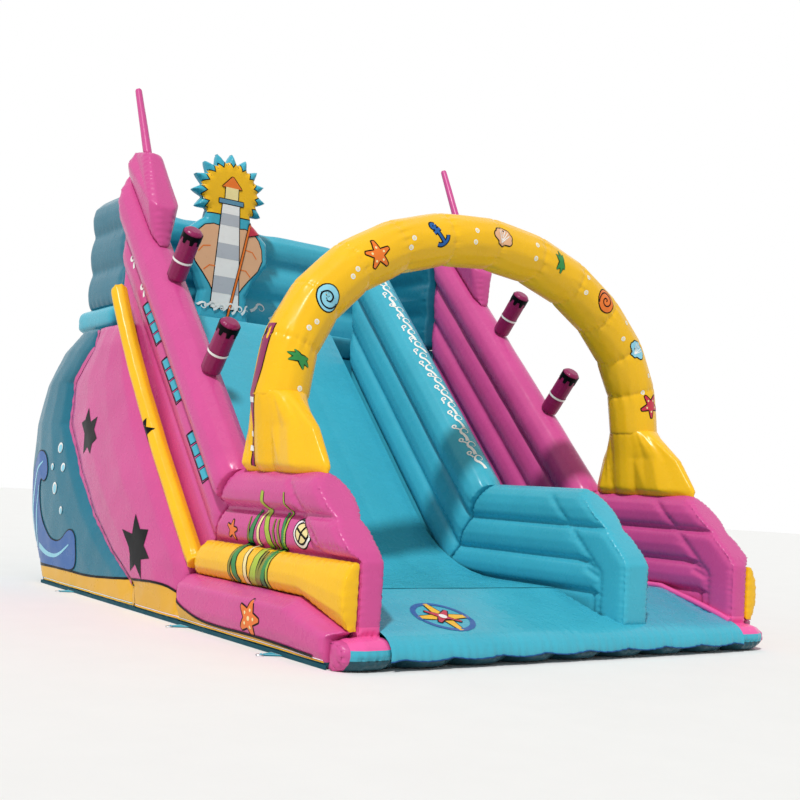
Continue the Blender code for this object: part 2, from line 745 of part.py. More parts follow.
def trim_line(drop=0.0):
    """The yellow tube's middle line on the flank: (station, height, swing share) of each point."""
    points = []
    for step in range(TRIM_STEPS + 1):
        share = step / TRIM_STEPS
        above = TRIM_LOW_OFFSET + (TRIM_HIGH_OFFSET - TRIM_LOW_OFFSET) * share**3
        y, z = slope_point(TRIM_START + (TRIM_END - TRIM_START) * share, above - drop)
        points.append((y, z, share**2))
    return points


def pillow_loops(curves, inner_x, outer_x_rows, foot=False):
    """Loops for a side panel: each curve runs bottom to top, with its own row of outer X values.

    A foot is upright as far as the hem of the base is high.
    """
    loops = []
    for curve, outers in zip(curves, outer_x_rows):
        if foot:
            curve = [curve[0], (curve[0][0], HEM_HEIGHT + FIT)] + curve[1:]
            outers = [outers[0], outers[0]] + outers[1:]
        inner = [Vector((inner_x, station(y), z)) for y, z in curve]
        outer = [Vector((x, station(y), z)) for (y, z), x in zip(curve, outers)]
        loops.append(inner + outer[::-1])
    return loops


def between(first, second, share):
    """The curve that lies this share of the way from one curve to another."""
    return [
        (a[0] + (b[0] - a[0]) * share, a[1] + (b[1] - a[1]) * share) for a, b in zip(first, second)
    ]


def crowned(count, foot, edge, crown, weight):
    """Outer X values up a panel: foot on the ground, edge at its top and crown in its middle."""
    return [foot] + [
        edge + (crown - edge) * weight * math.sqrt(math.sin(math.pi * step / (count - 1)))
        for step in range(1, count)
    ]


def flanks(label, side):
    """The bulged side panels of one flank, under and behind the walls."""
    inner = side * (CORE_HALF + FIT)
    edge = CORE_HALF + FLANK * PANEL_EDGE_SHARE
    crown = BASE_HALF + FLANK_BULGE
    rear = rear_points(ceiling=PLATFORM_HEIGHT - BED_THICKNESS - FIT)
    count = len(rear)
    trim = [(y, z) for y, z, _ in trim_line(TRIM_RADIUS + TRIM_GAP)]
    front = [(across_at(trim, z), z) for _, z in rear]
    seam = [(y - REAR_REACH * share, z) for (y, z), share in zip(rear, SEAM_FORWARD_SHARES)]
    apart = [(y + 2 * FIT, z) for y, z in seam]
    groups = (
        ("flank_panel", front, seam, "pink"),
        ("rear_panel", apart, rear, "dark_teal"),
    )
    for name, first, last, colour in groups:
        curves = [between(first, last, share) for share in PANEL_SHARES]
        rows = []
        for share in PANEL_SHARES:
            weight = math.sqrt(math.sin(math.pi * share)) if 0 < share < 1 else 0.0
            rows.append([side * x for x in crowned(count, BASE_HALF, edge, crown, weight)])
        middle = curves[2][count // 2]
        chamber(
            f"{label}_{name}",
            loft(pillow_loops(curves, inner, rows, foot=True)),
            colour,
            (inner, station(middle[0]), middle[1]),
        )
    low_line = trim_panel_low()
    curves = []
    end = front[0][0] - 2 * FIT
    for y, z in low_line:
        y = min(y, end)
        foot_y = max(y, BOLSTER_DEPTH + FIT)
        shoulder = max(z * LANDING_SHOULDER_SHARE, BASE_HEIGHT + FIT)
        curves.append([(foot_y, 0.0), (foot_y, shoulder / 2), (foot_y, shoulder), (y, z - 2 * FIT)])
    rows = [[side * x for x in (BASE_HALF, crown, crown, edge)] for _ in curves]
    chamber(
        f"{label}_flank_landing",
        loft(pillow_loops(curves, inner, rows, foot=True)),
        "pink",
        (inner, station(SLOPE_FOOT / 2), BASE_HEIGHT),
    )


def trim_panel_low():
    """The lower edge of the yellow panel beside the landing, from the front to the slope's foot."""
    last = trim_line(TRIM_RADIUS + 2 * FIT)[0]
    return [
        (WALL_SETBACK, TRIM_PANEL_FRONT_LOW),
        (TRIM_PANEL_RAMP, TRIM_PANEL_LOW),
        ((TRIM_PANEL_RAMP + last[0]) / 2, TRIM_PANEL_LOW),
        (last[0], TRIM_PANEL_LOW),
    ]


def trims(label, side):
    """The yellow tube up one flank and the yellow panel beside the landing."""
    mesh_data = bmesh.new()
    loops = []
    for y, z, share in trim_line():
        x = side * (CORE_HALF + TRIM_RADIUS + 2 * FIT + TRIM_SWING * share)
        loop = []
        for step in range(SMALL_SIDES):
            angle = 2 * math.pi * step / SMALL_SIDES
            square, across = TRIM_RADIUS * math.cos(angle), TRIM_RADIUS * math.sin(angle)
            loop.append(Vector((x + across, station(y - square * SLOPE_SIN), z + square * SLOPE_COS)))
        loops.append(loop)
    loft(loops, mesh_data)
    start = trim_line()[0]
    chamber(f"{label}_trim_tube", mesh_data, "yellow", (side * CORE_HALF, station(start[0]), start[1]))
    low = trim_panel_low()
    top_height = BED_TOP + WALL_HEIGHT * LOWER_CREASE_SHARE - FIT
    inner = side * (CORE_HALF + FIT)
    outer = side * (CORE_HALF + TRIM_PANEL_THICKNESS)
    curves = []
    mitre = TRIM_RADIUS + 2 * FIT
    for index, (y, z) in enumerate(low):
        last = index == len(low) - 1
        bottom_y, bottom_z = (y - mitre, z) if last else (y, z)
        top_y = bottom_y - (top_height - bottom_z) * MITRE_TAN if last else y
        rise = top_height - bottom_z
        curves.append(
            [(bottom_y + (top_y - bottom_y) * share, bottom_z + rise * share) for share in TRIM_LEVEL_SHARES]
        )
    rows = [[inner + (outer - inner) * share for share in TRIM_CROWN_SHARES] for _ in curves]
    port_at = (inner, station(SLOPE_FOOT / 2), BED_TOP)
    chamber(f"{label}_trim_panel", loft(pillow_loops(curves, inner, rows)), "yellow", port_at)


def enclosure():
    """The stacked tubes round the platform: two side walls and the back wall between them."""
    lobe = ENCLOSURE_HEIGHT / ENCLOSURE_LOBES
    rows = []
    for number in range(ENCLOSURE_LOBES):
        for step in range(LOBE_STEPS + 1):
            if number and not step:
                continue
            share = step / LOBE_STEPS
            half = CREASE_HALF + (ENCLOSURE_WALL / 2 - CREASE_HALF) * math.sin(math.pi * share)
            if number == ENCLOSURE_LOBES - 1 and share > 0.5:
                half = ENCLOSURE_WALL / 2 * math.sqrt(1 - (ENCLOSURE_TOP_SHARE * (2 * share - 1)) ** 2)
            rows.append((PLATFORM_HEIGHT + FIT + lobe * (number + share), half))
    middle = CORE_HALF - ENCLOSURE_WALL / 2
    for label, side in (("left", -1), ("right", 1)):
        loops = []
        places = (
            (PLATFORM_EDGE + FIT, 0.0),
            (PLATFORM_BACK - ENCLOSURE_ROUND, 0.0),
            (PLATFORM_BACK - ENCLOSURE_ROUND / 3, ENCLOSURE_ROUND / 3),
            (PLATFORM_BACK, ENCLOSURE_ROUND),
        )
        for y, drawn_in in places:
            left = [half - (drawn_in if side < 0 else 0.0) for _, half in rows]
            right = [half - (drawn_in if side > 0 else 0.0) for _, half in rows]
            left = [max(half, FIT) for half in left]
            right = [max(half, FIT) for half in right]
            points = [(y, z) for z, _ in rows]
            loops.append(wall_loop(points, left, right, side * middle))
        port_at = (side * middle, station((PLATFORM_EDGE + PLATFORM_BACK) / 2), PLATFORM_HEIGHT)
        chamber(f"{label}_platform_wall", loft(loops), "teal", port_at)
    half_length = middle - ENCLOSURE_WALL / 2 - FIT
    centre = station(PLATFORM_BACK - ENCLOSURE_WALL / 2)
    loops = []
    for x in (-half_length, half_length):
        front = [Vector((x, centre - half, z)) for z, half in rows]
        back = [Vector((x, centre + half, z)) for z, half in rows]
        loops.append(front + back[::-1])
    chamber("back_wall", loft(loops), "teal", (0.0, centre, PLATFORM_HEIGHT))


def towers_and_masts(label, side):
    """One tower on top of a side wall's upper end, with its mast."""
    middle = side * SIDE_MIDDLE

    def wall_top(y):
        return PLATFORM_HEIGHT + SLOPE_WALL_HEIGHT / SLOPE_COS - (PLATFORM_EDGE - y) * SLOPE_TAN + 2 * FIT

    top_back = TOWER_TOP_FRONT + TOWER_TOP_LENGTH
    front = [
        (TOWER_FRONT, wall_top(TOWER_FRONT)),
        (TOWER_FRONT, TOWER_SHOULDER_HEIGHT),
        (TOWER_TOP_FRONT, TOWER_TOP_HEIGHT),
    ]
    back = [
        (TOWER_BACK, wall_top(TOWER_BACK)),
        ((TOWER_BACK + top_back) / 2, (wall_top(TOWER_BACK) + TOWER_TOP_HEIGHT) / 2 + TOWER_TOP_SLANT),
        (top_back, TOWER_TOP_HEIGHT + TOWER_TOP_SLANT),
    ]
    halves = (TUBE_HALF * TOWER_FOOT_SHARE, TOWER_HALF, TOWER_TOP_HALF)
    loops = []
    for share, narrow in TOWER_DEPTH_SHARES:
        points = between(front, back, share)
        widths = [half * narrow for half in halves]
        loops.append(wall_loop(points, widths, widths, middle))
    port_at = (middle, station((TOWER_FRONT + TOWER_BACK) / 2), wall_top((TOWER_FRONT + TOWER_BACK) / 2))
    chamber(f"{label}_tower", loft(loops), "pink", port_at)
    foot = Vector((middle, station(TOWER_TOP_FRONT + TOWER_TOP_LENGTH / 2), TOWER_TOP_HEIGHT))
    direction = Vector((0.0, math.sin(MAST_LEAN), math.cos(MAST_LEAN)))
    rise = TOWER_TOP_SLANT / TOWER_TOP_LENGTH
    root, tip = [], []
    for step in range(ROUND_SIDES):
        turn = 2 * math.pi * step / ROUND_SIDES
        square = Vector((0.0, direction.z, -direction.y))
        out = (Vector((math.cos(turn), 0.0, 0.0)) + square * math.sin(turn)) * MAST_RADIUS
        on_top = TOWER_TOP_HEIGHT + rise * (foot.y + out.y - station(TOWER_TOP_FRONT)) + FIT
        climb = (on_top - foot.z - out.z) / (direction.z - rise * direction.y)
        root.append(foot + out + direction * climb)
        tip.append(foot + out * MAST_TIP_SHARE + direction * MAST_LENGTH)
    place(f"{label}_mast", loft([root, tip]), "pink")


def funnels(label, side):
    """The two short round stacks that stand out of one side wall's top tube."""
    for level, distance in zip(("lower", "upper"), FUNNEL_STATIONS):
        height = (
            PLATFORM_HEIGHT + SLOPE_WALL_HEIGHT / SLOPE_COS - (PLATFORM_EDGE - distance) * SLOPE_TAN
        )
        direction = Vector((0.0, -math.sin(FUNNEL_LEAN), math.cos(FUNNEL_LEAN)))
        root = Vector((side * SIDE_MIDDLE, station(distance), height)) + direction * FUNNEL_LIFT
        mesh_data = rod_data(root, root + direction * FUNNEL_LENGTH, FUNNEL_RADIUS, ROUND_SIDES)
        top = max(mesh_data.faces, key=lambda each: each.calc_center_median().z)
        bmesh.ops.inset_individual(mesh_data, faces=[top], thickness=FUNNEL_RADIUS * FUNNEL_RIM_SHARE)
        bmesh.ops.translate(mesh_data, verts=list(top.verts), vec=direction * FUNNEL_CROWN)
        chamber(f"{label}_{level}_funnel", mesh_data, "magenta", root)


def arch():
    """The yellow arch over the landing: two finned legs on the landing walls and the bent tube."""
    base_z = WALL_TOP + 2 * FIT
    leg_top = base_z + LEG_HEIGHT
    core = ARCH_RADIUS * LEG_CORE_SHARE
    for label, side in (("left", -1), ("right", 1)):
        middle = side * SIDE_MIDDLE
        loops = []
        for rise, reach, fullness in LEG_LEVEL_SHARES:
            z = base_z + LEG_HEIGHT * rise
            front = ARCH_STATION - ARCH_RADIUS - (LEG_FRONT_REACH - ARCH_RADIUS) * reach
            back = ARCH_STATION + ARCH_RADIUS + (LEG_BACK_REACH - ARCH_RADIUS) * reach
            half = LEG_HALF + (ARCH_RADIUS - LEG_HALF) * (1 - reach)
            edges = (front, ARCH_STATION - core, ARCH_STATION + core, back)
            points, halves = [], []
            for number in range(3):
                for step in range(LOBE_STEPS + 1):
                    if number and not step:
                        continue
                    share = step / LOBE_STEPS
                    y = edges[number] + (edges[number + 1] - edges[number]) * share
                    off_centre = (y - ARCH_STATION) / ARCH_RADIUS
                    round_half = half * math.sqrt(max(LEG_EDGE_SHARE**2, 1 - off_centre**2))
                    crest = LEG_CREASE * math.sin(math.pi * share)
                    finned = half - LEG_CREASE + crest
                    end_share = (y - front) / (edges[1] - front) if number == 0 else 1.0
                    end_share = (back - y) / (back - edges[2]) if number == 2 else end_share
                    taper = math.sin(math.pi / 2 * min(1.0, end_share * LEG_TAPER_SHARE))
                    finned *= max(LEG_TIP_SHARE, taper)
                    points.append(y)
                    halves.append((finned * reach + round_half * (1 - reach)) * fullness)
            left = [Vector((middle - h, station(y), z)) for y, h in zip(points, halves)]
            right = [Vector((middle + h, station(y), z)) for y, h in zip(points, halves)]
            loops.append(left + right[::-1])
        chamber(f"{label}_arch_leg", loft(loops), "yellow", (middle, station(ARCH_STATION), base_z))
    spring = leg_top + FIT
    loops = []
    for index in range(ARCH_SEGMENTS + 1):
        angle = math.pi * index / ARCH_SEGMENTS
        x, z = -SIDE_MIDDLE * math.cos(angle), spring + ARCH_RISE * math.sin(angle)
        slope = math.atan2(ARCH_RISE * math.cos(angle), SIDE_MIDDLE * math.sin(angle))
        out = Vector((-math.sin(slope), 0.0, math.cos(slope)))
        loop = []
        for step in range(ROUND_SIDES):
            turn = 2 * math.pi * step / ROUND_SIDES
            offset = out * math.cos(turn) + Vector((0.0, math.sin(turn), 0.0))
            loop.append(Vector((x, station(ARCH_STATION), z)) + offset * ARCH_RADIUS)
        loops.append(loop)
    chamber("arch_tube", loft(loops), "yellow", (SIDE_MIDDLE, station(ARCH_STATION), spring))


def lighthouse_panel():
    """The cut-out panel on the platform: rocks below and a burst of rays above."""
    base = PLATFORM_HEIGHT + FIT
    outline = [
        Vector((PANEL_HALF_WIDTH * half, PANEL_HEIGHT * height))
        for half, height in zip(ROCK_HALF_SHARES, ROCK_HEIGHT_SHARES)
    ]
    centre = Vector((0.0, PANEL_HEIGHT * BURST_CENTRE_SHARE))
    outer = PANEL_HEIGHT - centre.y
    steps = 2 * BURST_POINTS
    sweep = math.pi - 2 * BURST_START
    burst = []
    for index in range(steps + 1):
        angle = BURST_START + sweep * index / steps
        reach = outer if index % 2 else outer * BURST_INNER_SHARE
        burst.append(centre + Vector((reach * math.cos(angle), reach * math.sin(angle))))
    mirrored = [Vector((-point.x, point.y)) for point in reversed(outline)]
    outline = outline + burst + mirrored
    mesh_data = bmesh.new()
    rings = []
    depths = (-PANEL_RIM_HALF, PANEL_RIM_HALF)
    for depth in depths:
        rings.append(
            [
                mesh_data.verts.new((PANEL_MIDDLE + point.x, station(PANEL_STATION) + depth, base + point.y))
                for point in outline
            ]
        )
    count = len(outline)
    for index in range(count):
        after = (index + 1) % count
        mesh_data.faces.new((rings[0][index], rings[0][after], rings[1][after], rings[1][index]))
    caps = [mesh_data.faces.new(ring) for ring in rings]
    bmesh.ops.recalc_face_normals(mesh_data, faces=mesh_data.faces)
    for cap, depth in zip(caps, (-PANEL_HALF_THICKNESS, PANEL_HALF_THICKNESS)):
        bmesh.ops.inset_individual(mesh_data, faces=[cap], thickness=RIM_INSET)
        for vert in cap.verts:
            vert.co.y = station(PANEL_STATION) + depth
    bmesh.ops.triangulate(mesh_data, faces=[face for face in mesh_data.faces if len(face.verts) > 4])
    port_at = (PANEL_MIDDLE, station(PANEL_STATION), base)
    chamber("lighthouse_panel", mesh_data, "teal", port_at)


def climbing_gear():
    """The mat with its step rolls on the climbing lane, and the webbing with its hand loops up the middle."""
    swell = CREST_HALF - WALL / 2
    left = CLIMB_LEFT + swell + STEP_MARGIN
    right = CLIMB_RIGHT - swell - STEP_MARGIN
    strap_x = right - STRAP_WIDTH
    mat = FIT + MAT_THICKNESS
    start = STEP_FIRST - STEP_RADIUS - STEP_MARGIN
    end = STEP_FIRST + STEP_PITCH * (STEP_COUNT - 1) + STEP_RADIUS + STEP_MARGIN
    profile = [(start, mat)]
    for index in range(STEP_COUNT):
        along = STEP_FIRST + STEP_PITCH * index
        for step in range(STEP_SIDES + 1):
            angle = math.pi * step / STEP_SIDES
            profile.append((along - STEP_RADIUS * math.cos(angle), mat + STEP_RADIUS * math.sin(angle)))
    profile.append((end, mat))
    top = [slope_point(along, above) for along, above in profile]
    bottom = [slope_point(along, FIT) for along, _ in profile]
    place("climb_steps", loft(slab_loops((left, strap_x - STRAP_WIDTH), top, bottom)), "red")
    edges = (strap_x - STRAP_WIDTH / 2, strap_x + STRAP_WIDTH / 2)
    over = [slope_point(start, FIT + STRAP_THICKNESS), slope_point(end, FIT + STRAP_THICKNESS)]
    under = [slope_point(start, FIT), slope_point(end, FIT)]
    made = place("hand_straps", loft(slab_loops(edges, over, under)), "blue", smooth=False)
    loops = bmesh.new()
    for index in range(0, STEP_COUNT, STRAP_EVERY):
        middle = STEP_FIRST + STEP_PITCH * (index + 0.5)
        outer, inner = [], []
        for step in range(STRAP_STEPS + 1):
            share = step / STRAP_STEPS
            lift = FIT + STRAP_THICKNESS / 2 + STRAP_LOFT * math.sin(math.pi * share) ** STRAP_FULLNESS_SHARE
            along = middle + STRAP_LENGTH * (share - 0.5)
            squeeze = STRAP_THICKNESS * math.cos(math.pi * share)
            outer.append(slope_point(along - squeeze, lift + STRAP_THICKNESS * math.sin(math.pi * share)))
            inner.append(slope_point(along, lift - STRAP_THICKNESS / 4))
        loft(slab_loops(edges, outer, inner), loops)
    unite(made, loops, "hand_loops_guide")


def anchors():
    """The webbing round the base's edge with its tabs, each with a sleeve that holds a D-ring's bar."""
    side_x = BASE_HALF + FIT
    back = station(CUSHION_LENGTH) + FIT
    front = station(BOLSTER_DEPTH)
    outline = [
        (-side_x - HEM_THICKNESS, front),
        (-side_x, front),
        (-side_x, back),
        (side_x, back),
        (side_x, front),
        (side_x + HEM_THICKNESS, front),
        (side_x + HEM_THICKNESS, back + HEM_THICKNESS),
        (-side_x - HEM_THICKNESS, back + HEM_THICKNESS),
    ]
    hem = bmesh.new()
    low = [hem.verts.new((x, y, 0.0)) for x, y in outline]
    high = [hem.verts.new((x, y, HEM_HEIGHT)) for x, y in outline]
    count = len(outline)
    for index in range(count):
        after = (index + 1) % count
        hem.faces.new((low[index], low[after], high[after], high[index]))
    for ring in (low, high):
        for first in ((0, 1, 2, 7), (7, 2, 3, 6), (3, 4, 5, 6)):
            hem.faces.new([ring[index] for index in first])
    made = place("anchor_hem", hem, "teal", smooth=False)
    tabs, sleeves, bores = bmesh.new(), bmesh.new(), bmesh.new()
    sleeve_radius = RING_WIRE + RING_CLEARANCE + TAB_THICKNESS
    z = sleeve_radius + FIT
    for label, side in (("left", -1), ("right", 1)):
        root_x = side * (side_x + HEM_THICKNESS / 2)
        bar_x = root_x + side * TAB_REACH
        for number, distance in enumerate(ANCHOR_STATIONS, 1):
            y = station(distance)
            loops = []
            for x, half in ((root_x, TAB_LENGTH / 2), (bar_x, TAB_TIP / 2)):
                rise = TAB_THICKNESS / 2
                loops.append(
                    [
                        Vector((x, y - half, z - rise)),
                        Vector((x, y + half, z - rise)),
                        Vector((x, y + half, z + rise)),
                        Vector((x, y - half, z + rise)),
                    ]
                )
            loft(loops, tabs)
            half = TAB_TIP / 2
            rod_data((bar_x, y - half, z), (bar_x, y + half, z), sleeve_radius, SMALL_SIDES, sleeves)
            bore = RING_WIRE + RING_CLEARANCE
            rod_data((bar_x, y - TAB_TIP, z), (bar_x, y + TAB_TIP, z), bore, SMALL_SIDES, bores)
            d_ring(f"{label}_ring_{number}", bar_x, y, z, side)
    unite(made, tabs, "tabs_guide")
    unite(made, sleeves, "tab_sleeves_guide")
    unite(made, bores, "tab_bores_guide", operation="DIFFERENCE")


def d_ring(name, x, y, z, side):
    """A D-ring drawn about its straight bar, which runs along Y through the tab's sleeve."""
    bar_half = TAB_TIP / 2 + RING_WIRE + RING_ARM_GAP
    path = [Vector((0.0, -bar_half, 0.0)), Vector((0.0, bar_half, 0.0))]
    for step in range(RING_STEPS + 1):
        angle = math.pi / 2 - math.pi * step / RING_STEPS
        reach = RING_WIRE + RING_REACH * math.cos(angle)
        path.append(Vector((side * reach, RING_HALF * math.sin(angle), 0.0)))
    mesh_data = bmesh.new()
    count = len(path)
    up = Vector((0.0, 0.0, 1.0))
    rings = []
    for index in range(count):
        before, after = path[index - 1], path[(index + 1) % count]
        out = (after - before).normalized().cross(up)
        ring = []
        for step in range(RING_SIDES):
            turn = 2 * math.pi * step / RING_SIDES
            offset = out * math.cos(turn) + up * math.sin(turn)
            ring.append(mesh_data.verts.new(path[index] + offset * RING_WIRE))
        rings.append(ring)
    for index in range(count):
        first, second = rings[index], rings[(index + 1) % count]
        for step in range(RING_SIDES):
            after = (step + 1) % RING_SIDES
            mesh_data.faces.new((first[step], first[after], second[after], second[step]))
    made = place(name, mesh_data, "zinc")
    made.location = (x, y, z)
    return made


def deflation_zip():
    """The zip across the back of the rear body that lets the air out, with its slider."""
    back = station(REAR_CENTRE + REAR_REACH) + FIT
    z = REAR_CENTRE_HEIGHT
    tape = box_data(
        (ZIP_MIDDLE - ZIP_LENGTH / 2, back, z - ZIP_WIDTH / 2),
        (ZIP_MIDDLE + ZIP_LENGTH / 2, back + ZIP_THICKNESS, z + ZIP_WIDTH / 2),
    )
    place("zip_tape", tape, "black", smooth=False)
    start = ZIP_MIDDLE - ZIP_LENGTH / 2 + SLIDER_END_GAP
    y = back + ZIP_THICKNESS + FIT
    slider = bmesh.new()
    loops = []
    for depth, share in ((0.0, 1.0), (SLIDER_THICKNESS, SLIDER_CROWN_SHARE)):
        half = SLIDER_WIDTH / 2 * share
        trim = SLIDER_LENGTH * (1 - share) / 2
        loops.append(
            [
                Vector((trim, depth, -half)),
                Vector((trim, depth, half)),
                Vector((SLIDER_LENGTH - trim, depth, half)),
                Vector((SLIDER_LENGTH - trim, depth, -half)),
            ]
        )
    loft(loops, slider)
    made = place("zip_slider", slider, "zinc", smooth=False)
    made.location = (start, y, z)
    return made


def turned(profile, sides, middle, mesh_data=None):
    """A ring of revolution about an X axis through middle: profile is a closed list of (x, radius)."""
    mesh_data = mesh_data or bmesh.new()
    rings = []
    for step in range(sides):
        angle = 2 * math.pi * step / sides
        rings.append(
            [
                mesh_data.verts.new(
                    middle + Vector((x, radius * math.cos(angle), radius * math.sin(angle)))
                )
                for x, radius in profile
            ]
        )
    count = len(profile)
    for index in range(sides):
        first, second = rings[index], rings[(index + 1) % sides]
        for step in range(count):
            after = (step + 1) % count
            mesh_data.faces.new((first[step], first[after], second[after], second[step]))
    return mesh_data


def blower():
    """The fan that keeps the slide full: casing, wheel, motor, grille, frame, switch and the air sleeve."""
    axis = Vector((BLOWER_X, station(BLOWER_STATION), HOUSING_AXIS_HEIGHT))
    half = HOUSING_WIDTH / 2
    casing = turned(
        (
            (-half, INLET_RADIUS),
            (-half, HOUSING_RADIUS),
            (half, HOUSING_RADIUS),
            (half, SHAFT_OPENING),
            (half - HOUSING_WALL, SHAFT_OPENING),
            (half - HOUSING_WALL, HOUSING_RADIUS - HOUSING_WALL),
            (-half + HOUSING_WALL, HOUSING_RADIUS - HOUSING_WALL),
            (-half + HOUSING_WALL, INLET_RADIUS),
        ),
        HOUSING_SIDES,
        axis,
    )
    housing = place("blower_housing", casing, "yellow")
    nozzle_front = axis.y - HOUSING_RADIUS - NOZZLE_LENGTH
    nozzle_back = axis.y - math.sqrt(HOUSING_RADIUS**2 - NOZZLE_HALF**2) + HOUSING_WALL
    outer = box_data(
        (axis.x - NOZZLE_HALF, nozzle_front, axis.z - NOZZLE_HALF),
        (axis.x + NOZZLE_HALF, nozzle_back, axis.z + NOZZLE_HALF),
    )
    nozzle = place("nozzle_guide", outer, "yellow", smooth=False)
    bore_half = NOZZLE_HALF - HOUSING_WALL
    inner = box_data(
        (axis.x - bore_half, nozzle_front - HOUSING_WALL, axis.z - bore_half),
        (axis.x + bore_half, nozzle_back + HOUSING_WALL, axis.z + bore_half),
    )
    bore = place("nozzle_bore_guide", inner, "yellow", smooth=False)
    for guide, operation in ((nozzle, "UNION"), (bore, "DIFFERENCE")):
        guide.hide_render = True
        guide.display_type = "WIRE"
        cut = housing.modifiers.new(guide.name, "BOOLEAN")
        cut.operation = operation
        cut.object = guide
        cut.solver = "EXACT"
    impeller(axis)
    motor(axis + Vector((half, 0.0, 0.0)))
    grille(axis - Vector((half, 0.0, 0.0)))
    frame_and_switch(axis)
    sleeve(nozzle_front)


def impeller(axis):
    """The fan wheel: a back plate, a hub on the shaft and straight blades."""
    mesh_data = bmesh.new()
    back = HOUSING_WIDTH / 2 - HOUSING_WALL - IMPELLER_BACK_GAP
    disc = rod_data(
        (back - IMPELLER_PLATE, 0.0, 0.0), (back, 0.0, 0.0), IMPELLER_RADIUS, HOUSING_SIDES, mesh_data
    )
    made = place("blower_impeller", disc, "black")
    made.location = axis
    for index in range(BLADE_COUNT):
        blade = box_data(
            (
                back - IMPELLER_PLATE - IMPELLER_WIDTH,
                IMPELLER_RADIUS - BLADE_DEPTH,
                -BLADE_THICKNESS / 2,
            ),
            (back - IMPELLER_PLATE / 2, IMPELLER_RADIUS - BLADE_THICKNESS, BLADE_THICKNESS / 2),
        )
        turn = Matrix.Rotation(2 * math.pi * index / BLADE_COUNT, 4, "X")
        bmesh.ops.transform(blade, matrix=turn, verts=blade.verts)
        unite(made, blade, f"blade_{index}_guide", axis)
    hub = rod_data(
        (back - IMPELLER_PLATE / 2 - HUB_RADIUS, 0.0, 0.0),
        (back - IMPELLER_PLATE / 2, 0.0, 0.0),
        HUB_RADIUS,
        ROUND_SIDES,
    )
    unite(made, hub, "hub_guide", axis)
    bore = rod_data(
        (back - IMPELLER_WIDTH, 0.0, 0.0),
        (back + IMPELLER_WIDTH, 0.0, 0.0),
        SHAFT_RADIUS + SHAFT_CLEARANCE,
        ROUND_SIDES,
    )
    unite(made, bore, "hub_bore_guide", axis, "DIFFERENCE")


def unite(target, mesh_data, name, at=(0.0, 0.0, 0.0), operation="UNION"):
    """Join helper bodies to an object, or cut them away."""
    guide = place(name, mesh_data, "black", smooth=False)
    guide.location = at
    guide.hide_render = True
    guide.display_type = "WIRE"
    step = target.modifiers.new(name, "BOOLEAN")
    step.operation = operation
    step.object = guide
    step.solver = "EXACT"


def motor(face):
    """The motor on the casing's side, with the shaft that carries the wheel."""
    back = -HOUSING_WALL - IMPELLER_BACK_GAP - HUB_RADIUS
    profile = (
        (back, SHAFT_RADIUS),
        (FIT, SHAFT_RADIUS),
        (FIT, MOTOR_RADIUS + MOTOR_FLANGE),
        (MOTOR_FLANGE, MOTOR_RADIUS + MOTOR_FLANGE),
        (MOTOR_FLANGE, MOTOR_RADIUS),
        (MOTOR_LENGTH - MOTOR_FLANGE, MOTOR_RADIUS),
        (MOTOR_LENGTH, MOTOR_RADIUS - MOTOR_FLANGE),
    )
    mesh_data = bmesh.new()
    rings = []
    for x, radius in profile:
        rings.append(
            [
                mesh_data.verts.new(
                    face
                    + Vector(
                        (
                            x,
                            radius * math.cos(2 * math.pi * step / ROUND_SIDES),
                            radius * math.sin(2 * math.pi * step / ROUND_SIDES),
                        )
                    )
                )
                for step in range(ROUND_SIDES)
            ]
        )
    for first, second in zip(rings, rings[1:]):
        for step in range(ROUND_SIDES):
            after = (step + 1) % ROUND_SIDES
            mesh_data.faces.new((first[step], first[after], second[after], second[step]))
    mesh_data.faces.new(rings[0])
    mesh_data.faces.new(rings[-1])
    place("blower_motor", mesh_data, "steel")


def grille(face):
    """The round guard over the air inlet: rings on spokes, joined in one piece."""
    middle = face - Vector((GRILLE_WIRE + FIT, 0.0, 0.0))
    outer = INLET_RADIUS + 2 * GRILLE_WIRE
    band = turned(
        (
            (-GRILLE_WIRE, outer - 2 * GRILLE_WIRE),
            (-GRILLE_WIRE, outer + GRILLE_WIRE),
            (GRILLE_WIRE, outer + GRILLE_WIRE),
            (GRILLE_WIRE, outer - 2 * GRILLE_WIRE),
        ),
        GRILLE_SIDES,
        Vector((0.0, 0.0, 0.0)),
    )
    made = place("inlet_grille", band, "black")
    made.location = middle
    for index in range(GRILLE_RINGS - 1):
        radius = outer * (index + 1) / GRILLE_RINGS
        ring = turned(
            (
                (-GRILLE_WIRE, radius - GRILLE_WIRE),
                (-GRILLE_WIRE, radius + GRILLE_WIRE),
                (GRILLE_WIRE, radius + GRILLE_WIRE),
                (GRILLE_WIRE, radius - GRILLE_WIRE),
            ),
            GRILLE_SIDES,
            Vector((0.0, 0.0, 0.0)),
        )
        unite(made, ring, f"grille_ring_{index}_guide", middle)
    for index in range(GRILLE_SPOKES // 2):
        spoke = box_data(
            (-GRILLE_WIRE / 2, -outer, -GRILLE_WIRE),
            (GRILLE_WIRE / 2, outer, GRILLE_WIRE),
        )
        turn = Matrix.Rotation(math.pi * index / (GRILLE_SPOKES // 2), 4, "X")
        bmesh.ops.transform(spoke, matrix=turn, verts=spoke.verts)
        unite(made, spoke, f"grille_spoke_{index}_guide", middle)


